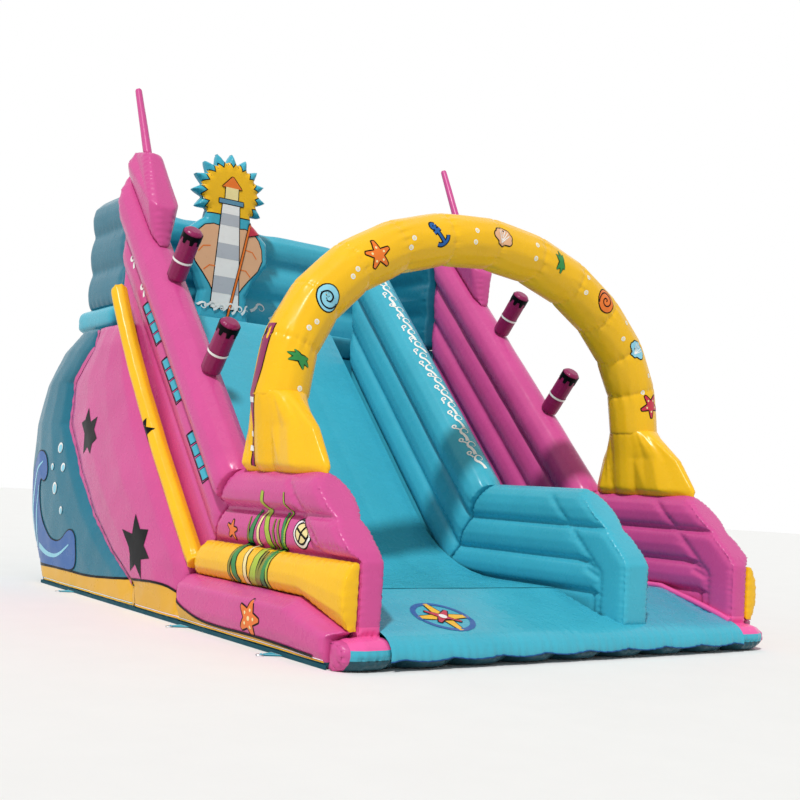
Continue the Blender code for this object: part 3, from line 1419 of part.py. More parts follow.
def frame_and_switch(axis):
    """The feet under the casing and the box on it, both moulded with it, and the rocker switch."""
    housing = bpy.data.objects["blower_housing"]
    plates, rails = bmesh.new(), bmesh.new()
    for side in (-1, 1):
        middle = side * (HOUSING_WIDTH / 2 - HOUSING_WALL * FOOT_INSET_SHARE)
        box_data(
            (middle - FOOT_PLATE / 2, -FOOT_SPREAD, FOOT_HEIGHT / 2),
            (middle + FOOT_PLATE / 2, FOOT_SPREAD, HOUSING_AXIS_HEIGHT - INLET_RADIUS - FOOT_HEIGHT),
            plates,
        )
        box_data(
            (middle - FOOT_HEIGHT, -FOOT_SPREAD - FOOT_HEIGHT, 0.0),
            (middle + FOOT_HEIGHT, FOOT_SPREAD + FOOT_HEIGHT, FOOT_HEIGHT),
            rails,
        )
    ground = Vector((axis.x, axis.y, 0.0))
    unite(housing, plates, "foot_plates_guide", ground)
    unite(housing, rails, "foot_rails_guide", ground)
    switch_box = box_data(
        (-SWITCH_BOX / 2, -SWITCH_BOX / 2, HOUSING_RADIUS - HOUSING_WALL / 2),
        (SWITCH_BOX / 2, SWITCH_BOX / 2, HOUSING_RADIUS + SWITCH_BOX_HEIGHT),
    )
    unite(housing, switch_box, "switch_box_guide", axis)
    box_top = HOUSING_AXIS_HEIGHT + HOUSING_RADIUS
    rocker = bmesh.new()
    depth, height = SWITCH_LENGTH / 2, SWITCH_HEIGHT / 2
    side_out, side_up = SWITCH_SIDE_SHARES
    loops = []
    for x in (-SWITCH_WIDTH / 2, SWITCH_WIDTH / 2):
        loops.append(
            [
                Vector((x, -depth, height)),
                Vector((x, 0.0, height * SWITCH_DISH_SHARE)),
                Vector((x, depth, height)),
                Vector((x, depth * side_out, height * side_up)),
                Vector((x, 0.0, -height)),
                Vector((x, -depth * side_out, height * side_up)),
            ]
        )
    loft(loops, rocker)
    made = place("switch_rocker", rocker, "orange", smooth=False)
    made.location = (axis.x, axis.y, box_top + SWITCH_BOX_HEIGHT + SWITCH_HEIGHT / 2 + FIT)


def sleeve(nozzle_front):
    """The fabric sleeve that leads the air from the blower into the rear body, cut to its curved back."""
    end = nozzle_front - FIT
    _, rear = core_outline(0.0)
    mesh_data = bmesh.new()
    rings = []
    for step in range(ROUND_SIDES):
        angle = 2 * math.pi * step / ROUND_SIDES
        ring = []
        for radius in (SLEEVE_RADIUS, SLEEVE_RADIUS - SHEET):
            height = SLEEVE_ENTRY_HEIGHT + radius * math.sin(angle)
            y = station(across_at(rear, height)) + 2 * FIT
            ring.append(Vector((BLOWER_X + radius * math.cos(angle), y, height)))
        for radius in (SLEEVE_NECK_RADIUS - SHEET, SLEEVE_NECK_RADIUS):
            height = HOUSING_AXIS_HEIGHT + radius * math.sin(angle)
            ring.append(Vector((BLOWER_X + radius * math.cos(angle), end, height)))
        rings.append([mesh_data.verts.new(point) for point in ring])
    for index in range(ROUND_SIDES):
        first, second = rings[index], rings[(index + 1) % ROUND_SIDES]
        # Both walls are split along the same diagonal, so that they stay a sheet's thickness apart.
        for step in range(4):
            after = (step + 1) % 4
            ends = (first[step], first[after], second[after], second[step])
            if after == 0:
                ends = ends[1:] + ends[:1]
            mesh_data.faces.new((ends[0], ends[1], ends[2]))
            mesh_data.faces.new((ends[0], ends[2], ends[3]))
    place("inflation_sleeve", mesh_data, "blue")


def build():
    """Clear the scene and model every sub-part."""
    for old in list(bpy.data.objects):
        bpy.data.objects.remove(old, do_unlink=True)
    base_and_bolster()
    beds()
    slide_surface()
    rear_body()
    baffles()
    walls = (("left", -SIDE_MIDDLE, -1, "pink"), ("divider", DIVIDER_MIDDLE, 0, "teal"))
    walls += (("right", SIDE_MIDDLE, 1, "pink"),)
    for label, middle, side, colour in walls:
        landing_wall(f"{label}_landing_wall", middle, side, colour)
        slope_wall(f"{label}_slope_wall", middle, side, colour)
    enclosure()
    for label, side in (("left", -1), ("right", 1)):
        flanks(label, side)
        trims(label, side)
        towers_and_masts(label, side)
        funnels(label, side)
    anchors()
    arch()
    lighthouse_panel()
    climbing_gear()
    deflation_zip()
    blower()


build()
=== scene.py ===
"""Looks of an inflatable water slide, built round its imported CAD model.

Metres, +Z up, +X to the right seen from the front, -Y towards the riders' way out. Every sewn chamber of
the CAD model is replaced by a blown-up, puckered skin of the same form, and its prints are thin vinyl.
"""

import logging
import math
from dataclasses import dataclass, field
from enum import Enum
from typing import Callable, Iterable, Sequence

import bmesh
import bpy
import numpy as np
from mathutils import Matrix, Vector
from mathutils.bvhtree import BVHTree
from mathutils.geometry import delaunay_2d_cdt
from mathutils.kdtree import KDTree

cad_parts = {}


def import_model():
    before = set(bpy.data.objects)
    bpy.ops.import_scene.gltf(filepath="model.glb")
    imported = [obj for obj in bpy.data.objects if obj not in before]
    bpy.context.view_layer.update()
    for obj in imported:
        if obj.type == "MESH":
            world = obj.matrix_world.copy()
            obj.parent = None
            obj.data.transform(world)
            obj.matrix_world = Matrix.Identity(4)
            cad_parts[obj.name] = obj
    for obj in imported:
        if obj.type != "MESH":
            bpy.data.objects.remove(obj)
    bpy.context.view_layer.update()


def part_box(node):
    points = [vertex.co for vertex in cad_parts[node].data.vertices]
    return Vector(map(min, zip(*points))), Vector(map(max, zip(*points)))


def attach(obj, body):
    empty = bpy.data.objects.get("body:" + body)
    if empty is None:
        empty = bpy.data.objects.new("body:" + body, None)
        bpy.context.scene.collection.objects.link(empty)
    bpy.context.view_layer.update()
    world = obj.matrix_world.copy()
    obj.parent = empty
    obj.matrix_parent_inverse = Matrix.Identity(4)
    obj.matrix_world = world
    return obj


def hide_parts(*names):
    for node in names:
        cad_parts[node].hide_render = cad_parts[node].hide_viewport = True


LOG = logging.getLogger("water_slide")
RIGID_BODY = "slide"
SIDES = ((-1.0, "left"), (1.0, "right"))
MELD = 1e-5  # points closer than this are one point of a CAD node

Piece = bpy.types.Object
Cloth = dict[str, Piece]
Tree = bpy.types.NodeTree
Socket = bpy.types.NodeSocket
Material = bpy.types.Material
Point2 = tuple[float, float]
Triple = tuple[float, float, float]
Width = float | Callable[[float], float]


class Tint(Enum):
    """The cloth and print colours, and the dark of painted shade, as sRGB hex values."""

    PINK = "#CF5093"
    TEAL = "#40AFC6"
    DARK_TEAL = "#1B6F86"
    YELLOW = "#F5BE1C"
    SAND = "#DFA92B"
    MAGENTA = "#8E1F57"
    RED = "#C8334A"
    BLUE = "#1D5CA3"
    SKY = "#8FD3E6"
    PEACH = "#E8B48A"
    ORANGE = "#EE7A2B"
    GREEN = "#2F8A46"
    OLIVE = "#8B8A2E"
    SLATE = "#5E8FA8"
    CREAM = "#F3E2A0"
    LIME = "#A9C23A"
    BRIGHT_PINK = "#EE5FA6"
    WHITE = "#F2F2EE"
    GREY = "#B9BEC4"
    BLACK = "#0C0C0F"
    HEM_BLUE = "#204E8C"
    # Painted shade: the dark teal that the base's underside shows in shade, dyed onto cloth and webbing.
    UNDERSIDE = "#0E4A58"


def linear(hex_colour: str) -> tuple[float, float, float, float]:
    """Turn an sRGB hex colour into the linear values that shaders use.

    Args:
        hex_colour: Six hex digits after a hash sign.

    Returns:
        Red, green and blue in linear light, and an alpha of 1.
    """
    channels = [int(hex_colour[index : index + 2], 16) / 255 for index in (1, 3, 5)]
    red, green, blue = [value / 12.92 if value <= 0.04045 else ((value + 0.055) / 1.055) ** 2.4 for value in channels]
    return (red, green, blue, 1.0)


@dataclass(frozen=True)
class Site:
    """Places and sizes shared by the sub-assemblies, the same as in the CAD model."""

    base_length: float = 6.40
    base_half: float = 2.395
    bed_top: float = 0.50
    slope_angle: float = math.radians(47)
    slope_foot: float = 2.63
    platform_height: float = 3.15
    platform_depth: float = 1.12
    side_middle: float = 2.15
    divider_middle: float = 0.69
    slide_left: float = -1.99
    slide_right: float = 0.53
    climb_right: float = 1.99
    landing_wall_height: float = 0.92
    baffle: float = 1.1075

    def y(self, distance: float) -> float:
        """Y of a place this far behind the base's front edge."""
        return distance - self.base_length / 2

    @property
    def platform_edge(self) -> float:
        """Distance of the platform's front edge."""
        return self.slope_foot + (self.platform_height - self.bed_top) / math.tan(self.slope_angle)

    @property
    def platform_back(self) -> float:
        """Distance of the platform's rear edge."""
        return self.platform_edge + self.platform_depth

    @property
    def wall_top(self) -> float:
        """Height of the landing walls."""
        return self.bed_top + self.landing_wall_height

    def on_slope(self, along: float, above: float) -> Point2:
        """The (y, z) of a place along the slope's bed and square above it.

        Args:
            along: Distance up the slope from its foot.
            above: Height over the bed.

        Returns:
            The place.
        """
        sine, cosine = math.sin(self.slope_angle), math.cos(self.slope_angle)
        distance = self.slope_foot + along * cosine - above * sine
        return (self.y(distance), self.bed_top + along * sine + above * cosine)

    def kink_way(self, side: float) -> Triple:
        """The way square to the walls' kink line, up the slope for side 1 and towards the landing for -1.

        Args:
            side: Which way.

        Returns:
            The direction.
        """
        sine, cosine = math.sin(self.slope_angle), math.cos(self.slope_angle)
        along = Vector((0.0, (cosine - 1.0) / sine, 1.0)).normalized()
        return (0.0, side * along.z, -side * along.y)


SITE = Site()
DOWN, UP, FORWARD = (0.0, 0.0, -1.0), (0.0, 0.0, 1.0), (0.0, -1.0, 0.0)
DOWN_SLOPE = (0.0, -math.cos(SITE.slope_angle), -math.sin(SITE.slope_angle))


# ---------------------------------------------------------------- materials


def add_node(
    tree: Tree, kind: str, inputs: dict | None = None, links: dict | None = None, **settings
) -> bpy.types.Node:
    """Add one node with its settings, input values and links.

    Args:
        tree: The shader or geometry tree.
        kind: Blender's name of the node type.
        inputs: Values by input name or number.
        links: Output sockets, or nodes for their first output, by input name or number.
        **settings: Attributes of the node.

    Returns:
        The new node.
    """
    node = tree.nodes.new(kind)
    for name, value in settings.items():
        setattr(node, name, value)
    for name, value in (inputs or {}).items():
        node.inputs[name].default_value = value
    for name, source in (links or {}).items():
        tree.links.new(source.outputs[0] if isinstance(source, bpy.types.Node) else source, node.inputs[name])
    return node


@dataclass(frozen=True)
class Finish:
    """A finish with a base colour that varies a little, and a bump of one grain."""

    title: str
    tint: str
    roughness: float
    metallic: float = 0.0
    specular: float = 0.5
    grain_mm: float = 6.0
    grain_depth: float = 0.0002
    mottle: float = 0.05

    def build(self) -> Material:
        """Make the material, or return it where it was made before.

        Returns:
            The material.
        """
        made = bpy.data.materials.get(self.title)
        if made:
            return made
        made = bpy.data.materials.new(self.title)
        made.use_nodes = True
        tree = made.node_tree
        shader = tree.nodes["Principled BSDF"]
        shader.inputs["Metallic"].default_value = self.metallic
        shader.inputs["Specular IOR Level"].default_value = self.specular
        place = add_node(tree, "ShaderNodeTexCoord").outputs["Object"]
        for name, maker in (("Base Color", self.colour), ("Roughness", self.gloss), ("Normal", self.relief)):
            tree.links.new(maker(tree, place), shader.inputs[name])
        return made

    def colour(self, tree: Tree, place: Socket) -> Socket:
        """Base colour, clouded a little by slow noise.

        Args:
            tree: The shader tree.
            place: Object coordinates.

        Returns:
            The colour.
        """
        slow = {"Scale": 1.7, "Detail": 4.0, "Roughness": 0.6}
        cloud = add_node(tree, "ShaderNodeTexNoise", slow, {"Vector": place})
        node = add_node(tree, "ShaderNodeValToRGB", links={0: cloud})
        stops = ((0.3, 1 - self.mottle), (0.7, 1 + self.mottle))
        for element, (position, share) in zip(node.color_ramp.elements, stops):
            element.position = position
            element.color = [min(1.0, value * share) for value in linear(self.tint)[:3]] + [1.0]
        return node.outputs[0]

    def gloss(self, tree: Tree, place: Socket) -> Socket:
        """Roughness, a little higher where the surface is handled.

        Args:
            tree: The shader tree.
            place: Object coordinates.

        Returns:
            The roughness.
        """
        rub = add_node(tree, "ShaderNodeTexNoise", {"Scale": 9.0, "Detail": 3.0}, {"Vector": place})
        limits = {"From Min": 0.3, "From Max": 0.7, "To Min": self.roughness * 0.85, "To Max": self.roughness * 1.2}
        return add_node(tree, "ShaderNodeMapRange", limits, {"Value": rub}).outputs[0]

    def relief(self, tree: Tree, place: Socket) -> Socket:
        """A fine grain as bump.

        Args:
            tree: The shader tree.
            place: Object coordinates.

        Returns:
            The normal.
        """
        fine = {"Scale": 1000 / self.grain_mm, "Detail": 2.0}
        grain = add_node(tree, "ShaderNodeTexNoise", fine, {"Vector": place})
        strength = {"Strength": 0.6, "Distance": self.grain_depth}
        return add_node(tree, "ShaderNodeBump", strength, {"Height": grain}).outputs[0]


@dataclass(frozen=True)
class CoatedTarpaulin(Finish):
    """PVC-coated polyester tarpaulin: a soft gloss, slack creases, a scrim that just shows, dust near the ground."""

    roughness: float = 0.27
    specular: float = 0.26
    thread_mm: float = 9.0
    crease_depth: float = 0.007
    dust_height: float = 0.22
    dust: str = "#9C9384"

    def colour(self, tree: Tree, place: Socket) -> Socket:
        """Cloth colour, clouded, and dusty near the ground.

        Args:
            tree: The shader tree.
            place: Object coordinates.

        Returns:
            The colour.
        """
        clean = super().colour(tree, place)
        height = add_node(tree, "ShaderNodeSeparateXYZ", links={0: place}).outputs[2]
        patchy = {"Scale": 6.0, "Detail": 6.0, "Roughness": 0.7}
        soil = add_node(tree, "ShaderNodeTexNoise", patchy, {"Vector": place})
        limits = {"From Min": 0.0, "From Max": self.dust_height, "To Min": 0.1, "To Max": 0.0}
        fade = add_node(tree, "ShaderNodeMapRange", limits, {"Value": height})
        amount = add_node(tree, "ShaderNodeMath", links={0: fade, 1: soil}, operation="MULTIPLY")
        mixed = {"Factor": amount, 6: clean}
        return add_node(tree, "ShaderNodeMix", {7: linear(self.dust)}, mixed, data_type="RGBA").outputs[2]

    def relief(self, tree: Tree, place: Socket) -> Socket:
        """Long slack creases, with the scrim's threads on top.

        The scrim is drawn at 9 mm in place of about 1 mm, because the real thread is too fine to show.

        Args:
            tree: The shader tree.
            place: Object coordinates.

        Returns:
            The normal.
        """
        long = {"Scale": 3.2, "Detail": 5.0, "Roughness": 0.55, "Distortion": 0.6}
        slack_cloth = add_node(tree, "ShaderNodeTexNoise", long, {"Vector": place})
        depth = {"Strength": 0.5, "Distance": self.crease_depth}
        crease = add_node(tree, "ShaderNodeBump", depth, {"Height": slack_cloth})
        threads = {"Scale": 1000 / self.thread_mm, "Randomness": 0.0}
        weave = add_node(tree, "ShaderNodeTexVoronoi", threads, {"Vector": place}, distance="CHEBYCHEV")
        fine = {"Strength": 0.07, "Distance": 0.0004}
        return add_node(tree, "ShaderNodeBump", fine, {"Height": weave, "Normal": crease}).outputs[0]


@dataclass(frozen=True)
class Webbing(Finish):
    """Woven polyester webbing: dull, with ribs across it every few millimetres."""

    roughness: float = 0.75
    specular: float = 0.3
    rib_mm: float = 4.0

    def relief(self, tree: Tree, place: Socket) -> Socket:
        """Ribs of the weave, drawn at twice their real pitch so that they show.

        Args:
            tree: The shader tree.
            place: Object coordinates.

        Returns:
            The normal.
        """
        threads = {"Scale": 1000 / self.rib_mm / (2 * math.pi), "Distortion": 0.3}
        ribs = add_node(tree, "ShaderNodeTexWave", threads, {"Vector": place}, bands_direction="DIAGONAL")
        return add_node(tree, "ShaderNodeBump", {"Strength": 0.5, "Distance": 0.0006}, {"Height": ribs}).outputs[0]


@dataclass(frozen=True)
class DrawnMetal(Finish):
    """Zinc-plated or painted steel and brass: smooth, with faint drawing marks."""

    metallic: float = 1.0
    grain_mm: float = 0.8
    grain_depth: float = 0.00004


def tarpaulin(tint: Tint) -> Material:
    """The PVC-coated tarpaulin in one colour."""
    return CoatedTarpaulin(f"pvc_coated_tarpaulin_{tint.name.lower()}", tint.value).build()


def vinyl(tint: Tint) -> Material:
    """Thin printed vinyl, a little rougher than the cloth; black shows the sky least."""
    sizes = dict(roughness=0.3, specular=0.06 if tint is Tint.BLACK else 0.26, crease_depth=0.004, dust_height=0.12)
    return CoatedTarpaulin(f"printed_vinyl_{tint.name.lower()}", tint.value, **sizes).build()


def webbing(tint: Tint) -> Material:
    """Woven polyester webbing in one colour."""
    return Webbing(f"woven_webbing_{tint.name.lower()}", tint.value).build()


def zinc() -> Material:
    """Zinc-plated steel: pale grey, a soft mirror."""
    return DrawnMetal("zinc_plated_steel", "#B9BDC2", 0.3).build()


# ---------------------------------------------------------------- meshes


def linked(name: str, data: bpy.types.ID) -> Piece:
    """A new object in the scene.

    Args:
        name: Its name.
        data: Its mesh, light or camera.

    Returns:
        The object.
    """
    made = bpy.data.objects.new(name, data)
    bpy.context.scene.collection.objects.link(made)
    return made


def evaluated(holder: Piece, name: str) -> Piece:
    """Keep what an object's modifiers make of it as a plain object, and remove the object.

    Args:
        holder: The object with its modifiers.
        name: The new object's name.

    Returns:
        The new object, with no modifier.
    """
    graph = bpy.context.evaluated_depsgraph_get()
    mesh = bpy.data.meshes.new_from_object(holder.evaluated_get(graph))
    rough = holder.data
    bpy.data.objects.remove(holder)
    bpy.data.meshes.remove(rough)
    mesh.name = name
    return linked(name, mesh)


def grid_faces(rows: int, columns: int, closed: bool = False) -> list[tuple[int, int, int, int]]:
    """The faces of a grid of points listed row by row.

    Args:
        rows: How many rows.
        columns: Points in a row.
        closed: Whether the last column joins the first.

    Returns:
        Lists of point numbers.
    """
    return [
        (low + column, low + (column + 1) % columns, low + columns + (column + 1) % columns, low + columns + column)
        for low in range(0, (rows - 1) * columns, columns)
        for column in range(columns if closed else columns - 1)
    ]


def new_mesh(name: str, verts: Sequence, faces: Sequence, finish: Material, sharp: float = 55.0) -> Piece:
    """A mesh object at the origin with one material, smooth but for its sharp edges.

    Args:
        name: The piece's name.
        verts: Points in the row frame.
        faces: Lists of point numbers.
        finish: The material.
        sharp: Least angle of a sharp edge, in degrees.

    Returns:
        The linked object.
    """
    mesh = bpy.data.meshes.new(name)
    mesh.from_pydata([tuple(point) for point in verts], [], [tuple(face) for face in faces])
    mesh.validate()
    mesh.materials.append(finish)
    mesh.shade_smooth()
    mesh.set_sharp_from_angle(angle=math.radians(sharp))
    return linked(name, mesh)


def wear(piece: Piece, nodes: Iterable[str] = ()) -> Piece:
    """Let a piece ride on the slide, stand for CAD nodes, and report it.

    Args:
        piece: The finished piece.
        nodes: CAD nodes that it stands for.

    Returns:
        The piece.
    """
    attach(piece, RIGID_BODY)
    names = list(nodes)
    if names:
        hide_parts(*names)
    LOG.info("%s: %d faces on %s", piece.name, len(piece.data.polygons), RIGID_BODY)
    return piece


def cad_mesh(node: str, meld: bool = True) -> bmesh.types.BMesh:
    """A CAD node's faces as an editable mesh.

    Args:
        node: The CAD node.
        meld: Whether points in one place are joined.

    Returns:
        The mesh; the caller frees it.
    """
    data = bmesh.new()
    data.from_mesh(bpy.data.objects[node].data)
    if meld:
        bmesh.ops.remove_doubles(data, verts=data.verts, dist=MELD)
    return data


def cad_tree(node: str) -> BVHTree:
    """A CAD node's faces, for rays.

    Args:
        node: The CAD node.

    Returns:
        The search tree.
    """
    data = cad_mesh(node, meld=False)
    tree = BVHTree.FromBMesh(data)
    data.free()
    return tree


# ---------------------------------------------------------------- chambers


def waves(length: np.ndarray, pitch: float, seed: int) -> np.ndarray:
    """Irregular waves along a seam, between 0 and 1.

    Args:
        length: Places along the seam, in metres.
        pitch: Mean distance of two puckers.
        seed: Makes each seam's waves its own.

    Returns:
        The height of the waves at each place.
    """
    draw = np.random.default_rng(seed)
    reach = float(length.max() - length.min()) + 4 * pitch
    knots = np.cumsum(draw.uniform(0.6, 1.4, int(reach / pitch * 2.6) + 8) * pitch / 2) + length.min() - pitch
    heights = np.where(np.arange(len(knots)) % 2 == 0, 0.0, draw.uniform(0.45, 1.0, len(knots)))
    share = np.interp(length, knots, np.arange(len(knots)))
    low = np.floor(share).astype(int).clip(0, len(knots) - 2)
    blend = share - low
    blend = blend * blend * (3 - 2 * blend)
    return heights[low] * (1 - blend) + heights[low + 1] * blend


def slack(points: np.ndarray, size: float, depth: float, seed: int, count: int = 6) -> np.ndarray:
    """Slow random swelling of cloth, from a few sine waves.

    Args:
        points: Points in space.
        size: Length of a swelling.
        depth: Largest swelling.
        seed: Makes each cloth's swelling its own.
        count: How many waves.

    Returns:
        A distance for each point.
    """
    draw = np.random.default_rng(seed)
    total = np.zeros(points.shape[:-1])
    for _ in range(count):
        direction = draw.normal(size=3)
        direction *= 2 * math.pi / (size * draw.uniform(0.6, 1.6)) / np.linalg.norm(direction)
        total += np.sin(points @ direction + draw.uniform(0, 2 * math.pi))
    return total * depth / count


def fading(distance: np.ndarray, reach: float, power: float = 2) -> np.ndarray:
    """A share that falls from 1 on a line to about a third at the reach from it."""
    return np.exp(-((distance / reach) ** power))


def crossings(tree: BVHTree, start: Vector, direction: Vector, most: int = 64, step: float = 2e-5) -> int:
    """How many faces a ray crosses.

    Args:
        tree: The faces.
        start: Where the ray starts.
        direction: Its unit direction.
        most: Where the count ends.
        step: How far past a face the ray goes on.

    Returns:
        The count.
    """
    count = 0
    while count < most:
        place = tree.ray_cast(start, direction)[0]
        if place is None:
            break
        count += 1
        start = place + direction * step
    return count


def outer_shell(node: str, sheet: float = 0.003, rays: int = 7, lift: float = 2e-4) -> bmesh.types.BMesh:
    """The outside of a hollow CAD chamber, as one closed surface.

    A point just outside a double wall sees 0, 4, 8... faces on any ray, and a point inside the hollow 2, 6...
    The rim of the air port is as narrow as the sheet is thick, which tells its faces from all others.

    Args:
        node: The CAD node.
        sheet: Widest rim of an air port.
        rays: How many rays vote on a face.
        lift: How far off the face they start.

    Returns:
        The surface; the caller frees it.
    """
    data = cad_mesh(node)
    tree = BVHTree.FromBMesh(data)
    inner = []
    for face in data.faces:
        start = face.calc_center_median() + face.normal * lift
        votes = 0
        for turn in range(rays):
            angle = 0.4 + turn * 2 * math.pi / rays
            side = face.normal.orthogonal().normalized()
            tilt = side * math.cos(angle) + face.normal.cross(side) * math.sin(angle)
            votes += crossings(tree, start, (face.normal + tilt * 0.45).normalized()) % 4 == 0
        if votes <= rays // 2 or min(edge.calc_length() for edge in face.edges) < sheet:
            inner.append(face)
    bmesh.ops.delete(data, geom=inner, context="FACES")
    drop_loose(data)
    bmesh.ops.holes_fill(data, edges=[edge for edge in data.edges if edge.is_boundary], sides=0)
    return data


def drop_loose(data: bmesh.types.BMesh) -> None:
    """Delete the points that no face uses."""
    bmesh.ops.delete(data, geom=[vert for vert in data.verts if not vert.link_faces], context="VERTS")


@dataclass
class Seams:
    """Seam lines of a chamber as points along chains: places, lengths along the chain and kinds."""

    places: list = field(default_factory=list)
    lengths: list = field(default_factory=list)
    convex: list = field(default_factory=list)
    step: float = 0.012
    apart: float = 1.0
    straight: float = 0.5
    reached: float = 0.0

    def trace(self, data: bmesh.types.BMesh, valley: float, ridge: float) -> None:
        """Walk the sharp edges of a surface and keep points along them.

        Args:
            data: The closed surface.
            valley: Least angle of a concave edge, in degrees.
            ridge: Least angle of a convex edge, in degrees.
        """
        angles = {}
        for edge in data.edges:
            if len(edge.link_faces) == 2:
                angle = math.degrees(edge.calc_face_angle_signed(0.0))
                if angle < -valley or angle > ridge:
                    angles[edge] = angle > 0
        left = set(angles)
        while left:
            edge = min(left, key=lambda item: item.index)
            chain = [edge]
            left.discard(edge)
            for end in (1, 0):
                tip, last = edge.verts[end], edge
                while True:
                    ahead = (tip.co - last.other_vert(tip).co).normalized()
                    options = [
                        (ahead.dot((other.other_vert(tip).co - tip.co).normalized()), other.index, other)
                        for other in tip.link_edges
                        if other in left
                    ]
                    if not options or max(options)[0] < self.straight:
                        break
                    last = max(options)[2]
                    left.discard(last)
                    chain.insert(len(chain) if end else 0, last)
                    tip = last.other_vert(tip)
            self.follow(chain, angles)

    def follow(self, chain: Sequence[bmesh.types.BMEdge], angles: dict) -> None:
        """Keep points along one chain of edges.

        Args:
            chain: Edges that share their ends.
            angles: Whether each edge is convex.
        """
        for number, edge in enumerate(chain):
            first, last = edge.verts
            after = chain[1].verts if number == 0 and len(chain) > 1 else ()
            if first in after or (number and first not in chain[number - 1].verts):
                first, last = last, first
            self.span(first.co, last.co, angles[edge])
        self.reached += self.apart

    def add(self, line: Sequence[Vector], convex: bool) -> None:
        """Keep a seam line that the CAD model doesn't have as an edge.

        Args:
            line: Its points.
            convex: Whether it counts as a ridge.
        """
        for first, last in zip(line, line[1:]):
            self.span(first, last, convex)
        self.reached += self.apart

    def span(self, first: Vector, last: Vector, convex: bool) -> None:
        """Keep points from one place to the next.

        Args:
            first: Where the stretch starts.
            last: Where it ends.
            convex: Whether it counts as a ridge.
        """
        size = (last - first).length
        count = max(1, math.ceil(size / self.step))
        for index in range(count):
            self.places.append(first.lerp(last, index / count))
            self.lengths.append(self.reached + size * index / count)
            self.convex.append(convex)
        self.reached += size

    def nearest(self, points: np.ndarray) -> tuple[np.ndarray, np.ndarray, np.ndarray]:
        """What the nearest seam is like at each point.

        Args:
            points: Points of the cloth.

        Returns:
            The distances, the places along the seam, and whether it is convex there.
        """
        tree = KDTree(len(self.places))
        for index, place in enumerate(self.places):
            tree.insert(place, index)
        tree.balance()
        found = [tree.find(point) for point in points]
        numbers = np.array([number for _, number, _ in found])
        distances = np.array([distance for _, _, distance in found])
        return distances, np.array(self.lengths)[numbers], np.array(self.convex)[numbers]


@dataclass(frozen=True)
class Band:
    """The colour of the cloth beyond planes, each a point and a normal."""

    tint: Tint
    planes: tuple[tuple[Triple, Triple], ...]


@dataclass(frozen=True)
class Joint:
    """An end that is sewn into a neighbour: the cloth runs on into it a little, so that no gap shows."""

    way: Triple
    reach: float = 0.025
    depth: float = 0.003

    def extend(self, data: bmesh.types.BMesh) -> None:
        """Move the points that lie furthest that way into the neighbour.

        Args:
            data: The chamber's surface.
        """
        way = Vector(self.way).normalized()
        furthest = max(vert.co.dot(way) for vert in data.verts)
        for vert in data.verts:
            if vert.co.dot(way) > furthest - self.depth:
                vert.co += way * self.reach


